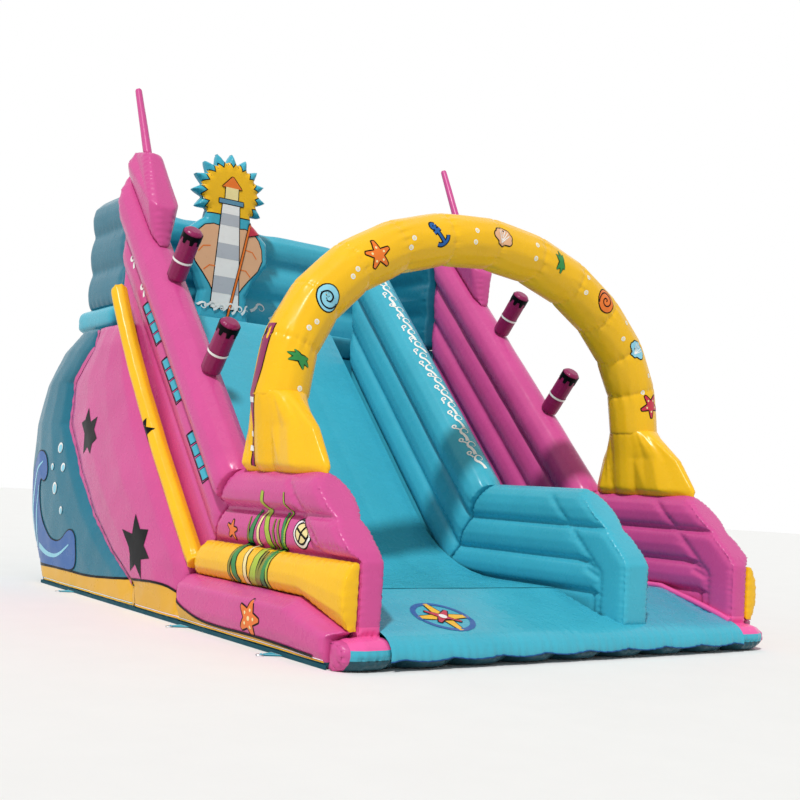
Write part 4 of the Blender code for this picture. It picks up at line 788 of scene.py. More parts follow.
@dataclass(frozen=True)
class Chamber:
    """One air chamber: the CAD solid's outside, blown up, pulled in along its seams and puckered there.

    The cloth is remeshed, smoothed, pulled in towards every seam like the edge of a cushion, and gathered in
    puckers that fade away from the seam.
    """

    node: str
    tint: Tint
    colour: str = ""
    grid: float = 0.022
    rounds: int = 5
    pull: float = 0.010
    pull_reach: float = 0.06
    pull_valley: float = 0.6
    pucker: float = 0.009
    pucker_reach: float = 0.075
    pitch: float = 0.11
    valley_share: float = 0.22
    fine: tuple[float, float, float] = (0.6, 0.45, 0.37)  # shares of the puckers' depth, reach and pitch
    swell: float = 0.004
    swell_size: float = 0.55
    valley: float = 18.0
    ridge: float = 48.0
    crease: float = 0.0
    crease_reach: float = 0.024
    lines_creased: bool = False
    bands: tuple[Band, ...] = ()
    lines: tuple[tuple[Vector, ...], ...] = ()
    joints: tuple[Joint, ...] = ()
    lowest: float = 0.002

    def build(self) -> Piece:
        """Blow the chamber up and let it stand for its CAD node.

        Returns:
            The finished piece.
        """
        data = outer_shell(self.node)
        seams = Seams()
        seams.trace(data, self.valley, self.ridge)
        for line in self.lines:
            seams.add(line, convex=not self.lines_creased)
        for joint in self.joints:
            joint.extend(data)
        piece = self.remeshed(data)
        data.free()
        self.gather(piece.data, seams)
        self.dye(piece.data)
        wear(piece, [self.node])
        return piece

    def remeshed(self, data: bmesh.types.BMesh) -> Piece:
        """An even mesh of the surface, with its corners eased.

        Args:
            data: The surface.

        Returns:
            The cloth.
        """
        rough = bpy.data.meshes.new(f"{self.node}_rough")
        bmesh.ops.triangulate(data, faces=data.faces)
        data.to_mesh(rough)
        source = linked(f"{self.node}_rough", rough)
        even = source.modifiers.new("even", "REMESH")
        even.mode = "VOXEL"
        even.voxel_size = self.grid
        ease = source.modifiers.new("ease", "SMOOTH")
        ease.factor = 0.5
        ease.iterations = self.rounds
        return evaluated(source, f"{self.node}_cloth")

    def gather(self, mesh: bpy.types.Mesh, seams: Seams) -> None:
        """Pull the cloth in along the seams, pucker it there and let it swell between them.

        Args:
            mesh: The cloth.
            seams: Its seams.
        """
        count = len(mesh.vertices)
        points, normals = np.empty(count * 3), np.empty(count * 3)
        mesh.vertices.foreach_get("co", points)
        mesh.vertices.foreach_get("normal", normals)
        points, normals = points.reshape(-1, 3), normals.reshape(-1, 3)
        seed = sum(ord(letter) * (place + 1) for place, letter in enumerate(self.node))
        push = slack(points, self.swell_size, self.swell, seed)
        if seams.places:
            distance, length, convex = seams.nearest(points)
            fine_depth, fine_reach, fine_pitch = self.fine
            push -= self.pull * fading(distance, self.pull_reach) * np.where(convex, 1.0, self.pull_valley)
            push -= self.crease * fading(distance, self.crease_reach) * np.where(convex, 0.0, 1.0)
            depth = self.pucker * np.where(convex, 1.0, self.valley_share)
            push -= depth * fading(distance, self.pucker_reach, 1.5) * waves(length, self.pitch, seed)
            fine = fading(distance, self.pucker_reach * fine_reach, 1.5)
            push -= depth * fine_depth * fine * waves(length, self.pitch * fine_pitch, seed + 7)
        points = points + normals * push[:, None]
        points[:, 2] = np.maximum(points[:, 2], self.lowest)
        mesh.vertices.foreach_set("co", points.ravel())
        mesh.update()
        mesh.shade_smooth()

    def dye(self, mesh: bpy.types.Mesh) -> None:
        """Cut the cloth along its colour borders and give each part its tarpaulin.

        Args:
            mesh: The cloth.
        """
        mesh.materials.clear()
        for tint in (self.tint, *(band.tint for band in self.bands)):
            mesh.materials.append(tarpaulin(tint))
        if not self.bands:
            return
        data = bmesh.new()
        data.from_mesh(mesh)
        for number, band in enumerate(self.bands, 1):
            planes = [(Vector(point), Vector(normal)) for point, normal in band.planes]
            for point, normal in planes:
                everything = [*data.verts, *data.edges, *data.faces]
                bmesh.ops.bisect_plane(data, geom=everything, dist=1e-4, plane_co=point, plane_no=normal)
            for face in data.faces:
                middle = face.calc_center_median()
                if all((middle - point).dot(normal) > 0 for point, normal in planes):
                    face.material_index = number
        for face in data.faces:
            face.smooth = True
        data.to_mesh(mesh)
        data.free()


def blow_up(nodes: Iterable[str], tint: Tint, **sizes) -> Cloth:
    """Blow up chambers that share their colour and sizes.

    Args:
        nodes: The CAD nodes.
        tint: Their colour.
        **sizes: Values of the chamber's other fields.

    Returns:
        The pieces by node.
    """
    return {node: Chamber(node, tint, **sizes).build() for node in nodes}


# ---------------------------------------------------------------- prints


@dataclass
class Projector:
    """A plane from which prints are thrown onto cloth: a point, two axes and the direction of throw."""

    cloth: Sequence[Piece]
    origin: Triple | Vector
    right: Triple | Vector
    up: Triple | Vector
    throw: Triple | Vector
    tree: BVHTree = field(init=False)

    def __post_init__(self) -> None:
        """Gather the pieces' faces in one tree."""
        self.origin, self.right, self.up, self.throw = map(Vector, (self.origin, self.right, self.up, self.throw))
        verts, faces = [], []
        for piece in self.cloth:
            start = len(verts)
            verts += [vertex.co.copy() for vertex in piece.data.vertices]
            faces += [[start + index for index in face.vertices] for face in piece.data.polygons]
        self.tree = BVHTree.FromPolygons(verts, faces)

    def place(self, point: Point2, lift: float) -> Vector | None:
        """A print's point on the cloth.

        Args:
            point: The place in the plane.
            lift: How far it stands off the cloth.

        Returns:
            The place, or None where the throw misses.
        """
        start = self.origin + self.right * point[0] + self.up * point[1]
        place, normal, _, _ = self.tree.ray_cast(start, self.throw)
        if place is None:
            return None
        if normal.dot(self.throw) > 0:
            normal = -normal
        return place + normal * lift


def from_side(side: float, cloth: Sequence[Piece]) -> Projector:
    """A projector that throws prints onto a flank, by (y, z)."""
    return Projector(cloth, (side * 4.0, 0, 0), (0, 1, 0), (0, 0, 1), (-side, 0, 0))


def from_front(y: float, cloth: Sequence[Piece]) -> Projector:
    """A projector that throws prints backwards, by (x, z)."""
    return Projector(cloth, (0, y, 0), (1, 0, 0), (0, 0, 1), (0, 1, 0))


def from_behind(cloth: Sequence[Piece]) -> Projector:
    """A projector that throws prints forwards from behind, by (-x, z)."""
    return Projector(cloth, (0, 6.0, 0), (-1, 0, 0), (0, 0, 1), (0, -1, 0))


def from_above(cloth: Sequence[Piece]) -> Projector:
    """A projector that throws prints straight down, by (x, y)."""
    return Projector(cloth, (0, 0, 6), (1, 0, 0), (0, 1, 0), (0, 0, -1))


def from_slope(cloth: Sequence[Piece]) -> Projector:
    """A projector that throws prints square onto the slope, by (x, distance along the slope).

    Args:
        cloth: The pieces that it aims at.

    Returns:
        The projector.
    """
    sine, cosine = math.sin(SITE.slope_angle), math.cos(SITE.slope_angle)
    normal = Vector((0, -sine, cosine))
    foot = Vector((0, SITE.y(SITE.slope_foot), SITE.bed_top))
    return Projector(cloth, foot + normal * 3.0, (1, 0, 0), (0, cosine, sine), -normal)


@dataclass
class PrintSheet:
    """All prints of one colour and layer on one sub-assembly."""

    lift: float
    verts: list = field(default_factory=list)
    faces: list = field(default_factory=list)
    largest: float = 0.25

    def fill(self, outline: Sequence[Point2], projector: Projector, spacing: float) -> None:
        """Lay a filled outline on the cloth.

        Args:
            outline: Corner points in the projector's plane.
            projector: Where it is thrown from.
            spacing: Distance of the inner points.
        """
        edge = resampled(outline, spacing)
        corners = np.array(edge)
        limits = zip(corners.min(axis=0), corners.max(axis=0))
        axes = [np.arange(low + spacing / 2, high, spacing) for low, high in limits]
        grid = np.stack(np.meshgrid(*axes), axis=-1).reshape(-1, 2)
        inner = [tuple(point) for point in grid[well_inside(grid, corners, spacing * 0.35)]]
        loop = [(index, (index + 1) % len(edge)) for index in range(len(edge))]
        points, _, faces, _, _, _ = delaunay_2d_cdt([Vector(p) for p in [*edge, *inner]], loop, [], 1, 1e-6)
        self.add([projector.place((p.x, p.y), self.lift) for p in points], faces)

    def stroke(
        self, line: Sequence[Point2], width: Width, projector: Projector, rows: int = 3, spacing: float = 0.02
    ) -> None:
        """Lay a band along a line on the cloth.

        Args:
            line: Points in the projector's plane.
            width: Full width, or a function of the share along the line.
            projector: Where it is thrown from.
            rows: Points across; two of them bridge a groove.
            spacing: Distance of two cross rows.
        """
        path = np.array(resampled(line, spacing, closed=False))
        ahead = unit_rows(np.gradient(path, axis=0))
        across = np.stack([-ahead[:, 1], ahead[:, 0]], axis=1)
        placed = []
        for index, (point, side) in enumerate(zip(path, across)):
            half = (width(index / (len(path) - 1)) if callable(width) else width) / 2
            offsets = np.linspace(-half, half, rows)
            placed += [projector.place(tuple(point + side * offset), self.lift) for offset in offsets]
        self.add(placed, grid_faces(len(path), rows))

    def add(self, placed: Sequence[Vector | None], faces: Sequence[Sequence[int]]) -> None:
        """Keep the faces whose points all landed near each other.

        Args:
            placed: The points, None where one missed the cloth.
            faces: Lists of point numbers.
        """
        start = len(self.verts)
        self.verts += [point or Vector() for point in placed]
        for face in faces:
            points = [placed[index] for index in face]
            if None in points or max((points[0] - point).length for point in points) > self.largest:
                continue
            self.faces.append([start + index for index in face])

    def build(self, name: str, tint: Tint) -> None:
        """Make the gathered prints one piece, a thin sheet facing out of the cloth, that rides on the slide.

        Args:
            name: The piece's name.
            tint: The colour of its vinyl.
        """
        if not self.faces:
            LOG.warning("%s: no print landed", name)
            return
        made = new_mesh(name, self.verts, self.faces, vinyl(tint))
        data = bmesh.new()
        data.from_mesh(made.data)
        drop_loose(data)
        data.to_mesh(made.data)
        data.free()
        wear(made)


def unit_rows(vectors: np.ndarray) -> np.ndarray:
    """The rows at unit length."""
    return vectors / np.maximum(np.linalg.norm(vectors, axis=1, keepdims=True), 1e-9)


def corner_pairs(points: Sequence[Point2], closed: bool) -> list[tuple[Point2, Point2]]:
    """Each point with the next one, and the last with the first where the line is closed."""
    return list(zip(points, [*points[1:], points[0]] if closed else points[1:]))


def resampled(points: Sequence[Point2], spacing: float, closed: bool = True) -> list[Point2]:
    """The outline or line with more points on it.

    Args:
        points: Its corners.
        spacing: Largest distance of two points.
        closed: Whether it is an outline.

    Returns:
        The new points.
    """
    made = []
    for (ax, ay), (bx, by) in corner_pairs(points, closed):
        count = max(1, math.ceil(math.hypot(bx - ax, by - ay) / spacing))
        made += [(ax + (bx - ax) * step / count, ay + (by - ay) * step / count) for step in range(count)]
    return made if closed else [*made, tuple(points[-1])]


def well_inside(points: np.ndarray, outline: np.ndarray, margin: float) -> np.ndarray:
    """Which points lie inside an outline and away from its corners.

    Args:
        points: The points.
        outline: The outline's corners.
        margin: Least distance from a corner.

    Returns:
        True or False for each point.
    """
    x, y = points[:, 0], points[:, 1]
    found = np.zeros(len(points), bool)
    for (ax, ay), (bx, by) in zip(outline, np.roll(outline, -1, axis=0)):
        if ay != by:
            found ^= ((ay > y) != (by > y)) & (x < (bx - ax) * (y - ay) / (by - ay) + ax)
    for corner in outline:
        found &= ((points - corner) ** 2).sum(axis=1) > margin * margin
    return found


def rounded(outline: Sequence[Point2], rounds: int = 2, closed: bool = True) -> list[Point2]:
    """The outline or line with its corners cut off again and again.

    Args:
        outline: Its corners.
        rounds: How often they are cut.
        closed: Whether it is an outline.

    Returns:
        The new points.
    """
    points = [tuple(point) for point in outline]
    for _ in range(rounds):
        made = []
        for (ax, ay), (bx, by) in corner_pairs(points, closed):
            made += [(ax * 0.75 + bx * 0.25, ay * 0.75 + by * 0.25), (ax * 0.25 + bx * 0.75, ay * 0.25 + by * 0.75)]
        points = made if closed else [points[0], *made, points[-1]]
    return points


def grown(outline: Sequence[Point2], margin: float) -> list[Point2]:
    """The outline moved outwards, for a print's dark border.

    Args:
        outline: Its points.
        margin: How far it moves.

    Returns:
        The new points.
    """
    points = np.array(outline, float)
    before, after = np.roll(points, 1, axis=0), np.roll(points, -1, axis=0)
    ahead = unit_rows(after - before)
    area = float((points[:, 0] * after[:, 1] - after[:, 0] * points[:, 1]).sum())
    out = np.stack([ahead[:, 1], -ahead[:, 0]], axis=1) * (1.0 if area > 0 else -1.0)
    return [tuple(point) for point in points + out * margin]


def moved(outline: Sequence[Point2], at: Point2, scale: float = 1.0, turn: float = 0.0) -> list[Point2]:
    """The outline scaled, turned by an angle in degrees and moved."""
    cosine, sine = math.cos(math.radians(turn)), math.sin(math.radians(turn))
    return [(at[0] + scale * (x * cosine - y * sine), at[1] + scale * (x * sine + y * cosine)) for x, y in outline]


def polar(reach: float, angle: float, at: Point2 = (0.0, 0.0)) -> Point2:
    """The point at a distance and an angle from a centre."""
    return (at[0] + reach * math.cos(angle), at[1] + reach * math.sin(angle))


def tapered(width: float, end: float) -> Callable[[float], float]:
    """A width that shrinks along a line; it would reach nothing at the end's share."""
    return lambda share: width * (end - share)


def narrowed(width: float, by: float, power: float, extra: float) -> Callable[[float], float]:
    """A width that has lost a share of itself at a line's end, with some extra all the way."""
    return lambda share: width * (1 - by * share**power) + extra


def bulging(width: float) -> Callable[[float], float]:
    """A width that is largest in the middle of a line."""
    return lambda share: width * math.sin(math.pi * (0.08 + 0.88 * share))


# ---------------------------------------------------------------- motifs


def star(points: int = 5, inner: float = 0.45, blunt: float = 0.16) -> list[Point2]:
    """A star of unit reach with blunted tips.

    Args:
        points: How many tips.
        inner: Reach of the valleys.
        blunt: Angle that a tip's three points take up.

    Returns:
        The outline.
    """
    made = []
    for index in range(points):
        tip = math.pi / 2 + 2 * math.pi * index / points
        made += [polar(1.0, tip + (step / 2 - 0.5) * blunt) for step in range(3)]
        made.append(polar(inner, tip + math.pi / points))
    return made


def disc(radius: float = 1.0, count: int = 20, squash: float = 1.0) -> list[Point2]:
    """A round or oval outline."""
    turns = [2 * math.pi * index / count for index in range(count)]
    return [(radius * math.cos(turn), radius * squash * math.sin(turn)) for turn in turns]


def fan(ribs: int = 6) -> list[Point2]:
    """A scallop shell of unit height with a wavy rim and a small foot.

    Args:
        ribs: Waves of the rim.

    Returns:
        The outline.
    """
    made = [(-0.22, -0.55), (-0.30, -0.38)]
    for share in shares(ribs * 4 + 1):
        x, y = polar(0.80 + 0.07 * abs(math.sin(math.pi * ribs * share)), math.radians(200 - 220 * share))
        made.append((x, y * 0.85))
    return [*made, (0.30, -0.38), (0.22, -0.55)]


def shares(count: int) -> list[float]:
    """Even shares from 0 to 1."""
    return [index / (count - 1) for index in range(count)]


def spiral(turns: float, count: int = 40) -> list[Point2]:
    """The line of a coiled shell."""
    return [polar(share, 2 * math.pi * turns * share) for share in shares(count)]


def curl(count: int) -> list[Point2]:
    """A breaking wave's foam: a rise that rolls over on itself."""
    roll = [polar(0.5 * (1 - 0.55 * share), math.radians(150 - 330 * share), (0.25, 0.2)) for share in shares(count)]
    return [(-1.0, -0.3), (-0.6, -0.1), (-0.25, 0.25), *roll]


def jagged(seed: int, points: int) -> list[Point2]:
    """A torn patch with an irregular outline of unit half width.

    Args:
        seed: Makes it its own.
        points: How many corners it has.

    Returns:
        The outline.
    """
    draw = np.random.default_rng(seed)
    made = []
    for index in range(points):
        reach = draw.uniform(0.85, 1.15) if index % 2 else draw.uniform(0.45, 0.7)
        x, y = polar(reach, 2 * math.pi * index / points)
        made.append((x, y * 0.9))
    return made


def leaning(start: float, end: float, low: float, high: float, skew: float) -> list[Point2]:
    """A four-cornered outline whose upper edge is shifted back by the skew."""
    return [(start, low), (end, low), (end - skew, high), (start - skew, high)]


def trapezoid(x: float, low: float, near: float, high: float, far: float) -> list[Point2]:
    """An even four-cornered outline round an upright line, by its half widths."""
    return [(x - near, low), (x + near, low), (x + far, high), (x - far, high)]


@dataclass
class Artist:
    """Collects prints for one sub-assembly: a sheet for each colour and layer."""

    title: str
    projector: Projector
    layer: float = 0.0016
    sheets: dict = field(default_factory=dict)

    def sheet(self, tint: Tint, level: int) -> PrintSheet:
        """The sheet of a colour on a layer."""
        return self.sheets.setdefault((tint, level), PrintSheet(self.layer * level))

    def patch(self, outline: Sequence[Point2], tint: Tint, level: int = 2, spacing: float = 0.03) -> None:
        """A filled patch."""
        self.sheet(tint, level).fill(outline, self.projector, spacing)

    def bordered(
        self, outline: Sequence[Point2], tint: Tint, border: float, level: int = 2, spacing: float = 0.03
    ) -> None:
        """A filled patch with a dark border under it."""
        self.patch(grown(resampled(outline, spacing), border), Tint.BLACK, level - 1, spacing)
        self.patch(outline, tint, level, spacing)

    def dot(self, at: Point2, size: float, tint: Tint, level: int, spacing: float, count: int = 20) -> None:
        """A round patch."""
        self.patch(moved(disc(count=count), at, size), tint, level, spacing)

    def line(self, points: Sequence[Point2], width: Width, tint: Tint, level: int = 2, rows: int = 3) -> None:
        """A stroke."""
        self.sheet(tint, level).stroke(points, width, self.projector, rows)

    def finish(self) -> None:
        """Join the sheets of each colour in one piece."""
        for tint in sorted({tint for tint, _ in self.sheets}, key=lambda item: item.name):
            whole = PrintSheet(0.0)
            for level in sorted(level for other, level in self.sheets if other is tint):
                sheet, start = self.sheets[tint, level], len(whole.verts)
                whole.verts += sheet.verts
                whole.faces += [[start + index for index in face] for face in sheet.faces]
            whole.build(f"{self.title}_print_{tint.name.lower()}", tint)


# ---------------------------------------------------------------- geometry nodes


def recipe(name: str, sizes: dict[str, float]) -> tuple[Tree, dict[str, Socket]]:
    """An empty geometry tree that takes the object's own mesh, as Path, and sizes.

    Args:
        name: The tree's name.
        sizes: Defaults by input name.

    Returns:
        The tree, and its input sockets by name.
    """
    tree = bpy.data.node_groups.new(name, "GeometryNodeTree")
    tree.interface.new_socket("Path", in_out="INPUT", socket_type="NodeSocketGeometry")
    for title, value in sizes.items():
        tree.interface.new_socket(title, in_out="INPUT", socket_type="NodeSocketFloat").default_value = value
    tree.interface.new_socket("Geometry", in_out="OUTPUT", socket_type="NodeSocketGeometry")
    start = tree.nodes.new("NodeGroupInput")
    return tree, {socket.name: socket for socket in start.outputs if socket.name}


def close_recipe(tree: Tree, last: bpy.types.Node, finish: Material) -> Tree:
    """End a geometry tree in Realize Instances and Set Material.

    Args:
        tree: The tree.
        last: The node that gives the form.
        finish: The material.

    Returns:
        The tree.
    """
    real = add_node(tree, "GeometryNodeRealizeInstances", links={0: last})
    smooth = add_node(tree, "GeometryNodeSetShadeSmooth", links={0: real})
    dyed = add_node(tree, "GeometryNodeSetMaterial", {"Material": finish}, {"Geometry": smooth})
    add_node(tree, "NodeGroupOutput", links={0: dyed})
    return tree


def grown_piece(
    name: str, tree: Tree, values: dict[str, float], finish: Material, path: Sequence[Sequence[Vector]],
    nodes: Sequence[str] = (),
) -> Piece:
    """Run a geometry tree, keep its result as a plain mesh and let it ride on the slide.

    Args:
        name: The piece's name.
        tree: The finished tree.
        values: Sizes by input name.
        finish: The material.
        path: Lines that the tree follows, as points.
        nodes: CAD nodes that the piece stands for.

    Returns:
        The piece, with no modifier left on it.
    """
    verts, edges = [], []
    for line in path:
        start = len(verts)
        verts += [tuple(point) for point in line]
        edges += [(start + index, start + index + 1) for index in range(len(line) - 1)]
    mesh = bpy.data.meshes.new(f"{name}_path")
    mesh.from_pydata(verts, edges, [])
    holder = linked(f"{name}_path", mesh)
    form = holder.modifiers.new("form", "NODES")
    form.node_group = tree
    for item in tree.interface.items_tree:
        if item.item_type == "SOCKET" and item.in_out == "INPUT" and item.name in values:
            form[item.identifier] = values[item.name]
    made = evaluated(holder, name)
    made.data.materials.clear()
    made.data.materials.append(finish)
    return wear(made, nodes)


def welt_tree() -> Tree:
    """Round piping along lines: a welded seam's bead.

    Returns:
        The tree, made once.
    """
    made = bpy.data.node_groups.get("seam_welt")
    if made:
        return made
    tree, sizes = recipe("seam_welt", {"Radius": 0.006, "Spacing": 0.03})
    curve = add_node(tree, "GeometryNodeMeshToCurve", links={0: sizes["Path"]})
    spaced = {"Curve": curve, "Length": sizes["Spacing"]}
    even = add_node(tree, "GeometryNodeResampleCurve", links=spaced, mode="LENGTH")
    profile = add_node(tree, "GeometryNodeCurvePrimitiveCircle", {"Resolution": 6}, {"Radius": sizes["Radius"]})
    ends = {"Curve": even, "Profile Curve": profile}
    return close_recipe(tree, add_node(tree, "GeometryNodeCurveToMesh", {"Fill Caps": True}, ends), webbing(Tint.WHITE))


def welt(name: str, lines: Sequence[Sequence[Vector]], radius: float, spacing: float, finish: Material) -> None:
    """Lay round piping along lines."""
    grown_piece(name, welt_tree(), {"Radius": radius, "Spacing": spacing}, finish, lines)


def stitch_tree() -> Tree:
    """Stitches along lines: short raised threads, one after another.

    Returns:
        The tree, made once.
    """
    made = bpy.data.node_groups.get("stitches")
    if made:
        return made
    tree, sizes = recipe("stitches", {"Pitch": 0.012, "Length": 0.008, "Thickness": 0.0016})
    curve = add_node(tree, "GeometryNodeMeshToCurve", links={0: sizes["Path"]})
    spaced = {"Curve": curve, "Length": sizes["Pitch"]}
    points = add_node(tree, "GeometryNodeCurveToPoints", links=spaced, mode="LENGTH")
    form, size = {"Vertices": 5, "Side Segments": 1}, {"Radius": sizes["Thickness"], "Depth": sizes["Length"]}
    thread = add_node(tree, "GeometryNodeMeshCylinder", form, size)
    laid = {"Points": points.outputs["Points"], "Instance": thread, "Rotation": points.outputs["Rotation"]}
    return close_recipe(tree, add_node(tree, "GeometryNodeInstanceOnPoints", links=laid), webbing(Tint.WHITE))


def stitch(name: str, lines: Sequence[Sequence[Vector]], sizes: Triple, finish: Material | None = None) -> None:
    """Sew along lines.

    Args:
        name: The piece's name.
        lines: Where it is sewn.
        sizes: Pitch, length and thickness of the stitches.
        finish: Another material than white thread.
    """
    values = dict(zip(("Pitch", "Length", "Thickness"), sizes))
    grown_piece(name, stitch_tree(), values, finish or webbing(Tint.WHITE), lines)


def roll_tree(finish: Material) -> Tree:
    """Blown-up rolls across a lane, one at each pitch along a line up the slope.

    Args:
        finish: The rolls' material.

    Returns:
        The tree.
    """
    tree, sizes = recipe("climbing_rolls", {"Pitch": 0.42, "Length": 0.9, "Radius": 0.06, "End": 0.09})
    line = add_node(tree, "GeometryNodeMeshToCurve", links={0: sizes["Path"]})
    spaced = {"Curve": line, "Length": sizes["Pitch"]}
    spots = add_node(tree, "GeometryNodeCurveToPoints", links=spaced, mode="LENGTH")
    ends = []
    for half in (-0.5, 0.5):
        x = add_node(tree, "ShaderNodeMath", {1: half}, {0: sizes["Length"]}, operation="MULTIPLY")
        ends.append(add_node(tree, "ShaderNodeCombineXYZ", links={0: x}))
    axis = add_node(tree, "GeometryNodeCurvePrimitiveLine", links={"Start": ends[0], "End": ends[1]})
    fine = add_node(tree, "GeometryNodeResampleCurve", {"Count": 73}, {"Curve": axis})
    share = add_node(tree, "GeometryNodeSplineParameter").outputs["Factor"]
    # Distance from the nearer end, turned into a rounded end and a gathered seam beside it.
    away = add_node(tree, "ShaderNodeMath", {1: 0.5}, {0: share}, operation="SUBTRACT")
    away = add_node(tree, "ShaderNodeMath", links={0: away}, operation="ABSOLUTE")
    near = add_node(tree, "ShaderNodeMath", {0: 0.5}, {1: away}, operation="SUBTRACT")
    near = add_node(tree, "ShaderNodeMath", links={0: near, 1: sizes["Length"]}, operation="MULTIPLY")
    ending = add_node(tree, "ShaderNodeMath", links={0: near, 1: sizes["End"]}, operation="DIVIDE")
    ending = add_node(tree, "ShaderNodeMath", {1: 1.0}, {0: ending}, operation="MINIMUM")
    curve = add_node(tree, "ShaderNodeFloatCurve", links={"Value": ending})
    points = curve.mapping.curves[0].points
    points[0].location = (0.0, 0.08)
    for place in ((0.18, 0.62), (0.5, 0.93)):
        points.new(*place)
    curve.mapping.update()
    ripple = add_node(tree, "ShaderNodeMath", {1: 92.0}, {0: near}, operation="MULTIPLY")
    ripple = add_node(tree, "ShaderNodeMath", links={0: ripple}, operation="SINE")
    ripple = add_node(tree, "ShaderNodeMath", {1: 0.018, 2: 0.0}, {0: ripple}, operation="MULTIPLY_ADD")
    girth = add_node(tree, "ShaderNodeMath", links={0: curve, 1: ripple}, operation="ADD")
    girth = add_node(tree, "ShaderNodeMath", links={0: girth, 1: sizes["Radius"]}, operation="MULTIPLY")
    shaped = add_node(tree, "GeometryNodeSetCurveRadius", links={"Curve": fine, "Radius": girth})
    outline = add_node(tree, "GeometryNodeCurvePrimitiveCircle", {"Resolution": 24, "Radius": 1.0})
    both = {"Curve": shaped, "Profile Curve": outline}
    skin = add_node(tree, "GeometryNodeCurveToMesh", {"Fill Caps": True}, both)
    if "Scale" in skin.inputs:
        tree.links.new(add_node(tree, "GeometryNodeInputRadius").outputs[0], skin.inputs["Scale"])
    placed = {"Points": spots.outputs["Points"], "Instance": skin}
    return close_recipe(tree, add_node(tree, "GeometryNodeInstanceOnPoints", links=placed), finish)


def screw_tree(finish: Material) -> Tree:
    """Low domed heads with a rim, on single points.

    Args:
        finish: Their material.

    Returns:
        The tree.
    """
    sides = 12
    tree, sizes = recipe("screw_heads", {"Radius": 0.006, "Wire": 0.002})
    rings = [
        add_node(tree, "GeometryNodeCurvePrimitiveCircle", {"Resolution": count}, {"Radius": sizes[size]})
        for count, size in ((sides, "Radius"), (8, "Wire"))
    ]
    rim = add_node(tree, "GeometryNodeCurveToMesh", links={"Curve": rings[0], "Profile Curve": rings[1]})
    head = add_node(tree, "GeometryNodeMeshUVSphere", {"Segments": sides, "Rings": 8}, {"Radius": sizes["Radius"]})
    flat = add_node(tree, "GeometryNodeTransform", {"Scale": (1.0, 1.0, 0.35)}, {"Geometry": head})
    both = add_node(tree, "GeometryNodeJoinGeometry")
    for part in (rim, flat):
        tree.links.new(part.outputs[0], both.inputs[0])
    placed = {"Points": sizes["Path"], "Instance": both}
    return close_recipe(tree, add_node(tree, "GeometryNodeInstanceOnPoints", links=placed), finish)


# ---------------------------------------------------------------- chambers of each sub-assembly


def rear_welds(node: str, spans: Sequence[Triple]) -> tuple[tuple[Vector, ...], ...]:
    """Lines up a chamber's rear face where its inner walls are welded on.

    Args:
        node: The CAD node.
        spans: X, lowest and highest point of each line.

    Returns:
        The lines, on the CAD surface.
    """
    tree, lines = cad_tree(node), []
    for x, low, high in spans:
        hits = [tree.ray_cast(Vector((x, 6.0, z)), Vector((0.0, -1.0, 0.0)))[0] for z in np.linspace(low, high, 60)]
        lines.append(tuple(place for place in hits if place is not None))
    return tuple(lines)


@dataclass
class BaseAndBeds:
    """The base cushion, its quilted front roll and the beds of both lanes."""

    # Height below which the front roll is dyed in painted shade, under its teal top band.
    fringe: float = 0.088
    strip: float = 0.162
    strip_inside: float = 1.985
    cap: float = 2.325

    def build(self) -> Cloth:
        """Blow up every chamber of the base, and hang the apron.

        Returns:
            The pieces that prints are laid on, by name.
        """
        # The base cushion is dyed all over in painted shade, the dark of its shaded underside.
        blow_up(["base_cushion"], Tint.UNDERSIDE, colour="blue", grid=0.035)
        blow_up(["slide_curve_wedge"], Tint.TEAL, grid=0.03, pucker=0.004)
        # The front roll is dyed in painted shade below its teal top band, where the roll lies in shade.
        bands = [Band(Tint.TEAL, (((0.0, 0.0, self.fringe), UP),))]
        for side, _ in SIDES:
            out = (side, 0.0, 0.0)
            inside = ((side * self.strip_inside, 0.0, 0.0), out)
            bands.append(Band(Tint.BRIGHT_PINK, (((0.0, 0.0, self.strip), UP), inside)))
            bands.append(Band(Tint.PINK, (((side * self.cap, 0.0, 0.0), out),)))
        seam = tuple(Vector((side * SITE.base_half, SITE.y(0.008), self.fringe)) for side, _ in SIDES)
        made = blow_up(
            ["front_bolster"], Tint.UNDERSIDE, colour="dark_teal", grid=0.013, rounds=3, pull=0.010, pull_reach=0.02,
            pucker=0.020, pucker_reach=0.05, pitch=0.075, valley=10, swell=0.002, bands=tuple(bands), lines=(seam,),
        )
        landing = dict(grid=0.0155, rounds=2, pull=0.004, pucker=0.006, pucker_reach=0.12, pitch=0.10)
        made |= blow_up(["slide_landing_bed", "climb_landing_bed"], Tint.TEAL, **landing)
        beds = ["slide_slope_bed", "climb_slope_bed", "platform_bed"]
        made |= blow_up(beds, Tint.TEAL, grid=0.030, pull=0.006, pucker=0.006)
        return made | {"front_apron": FrontApron().build()}


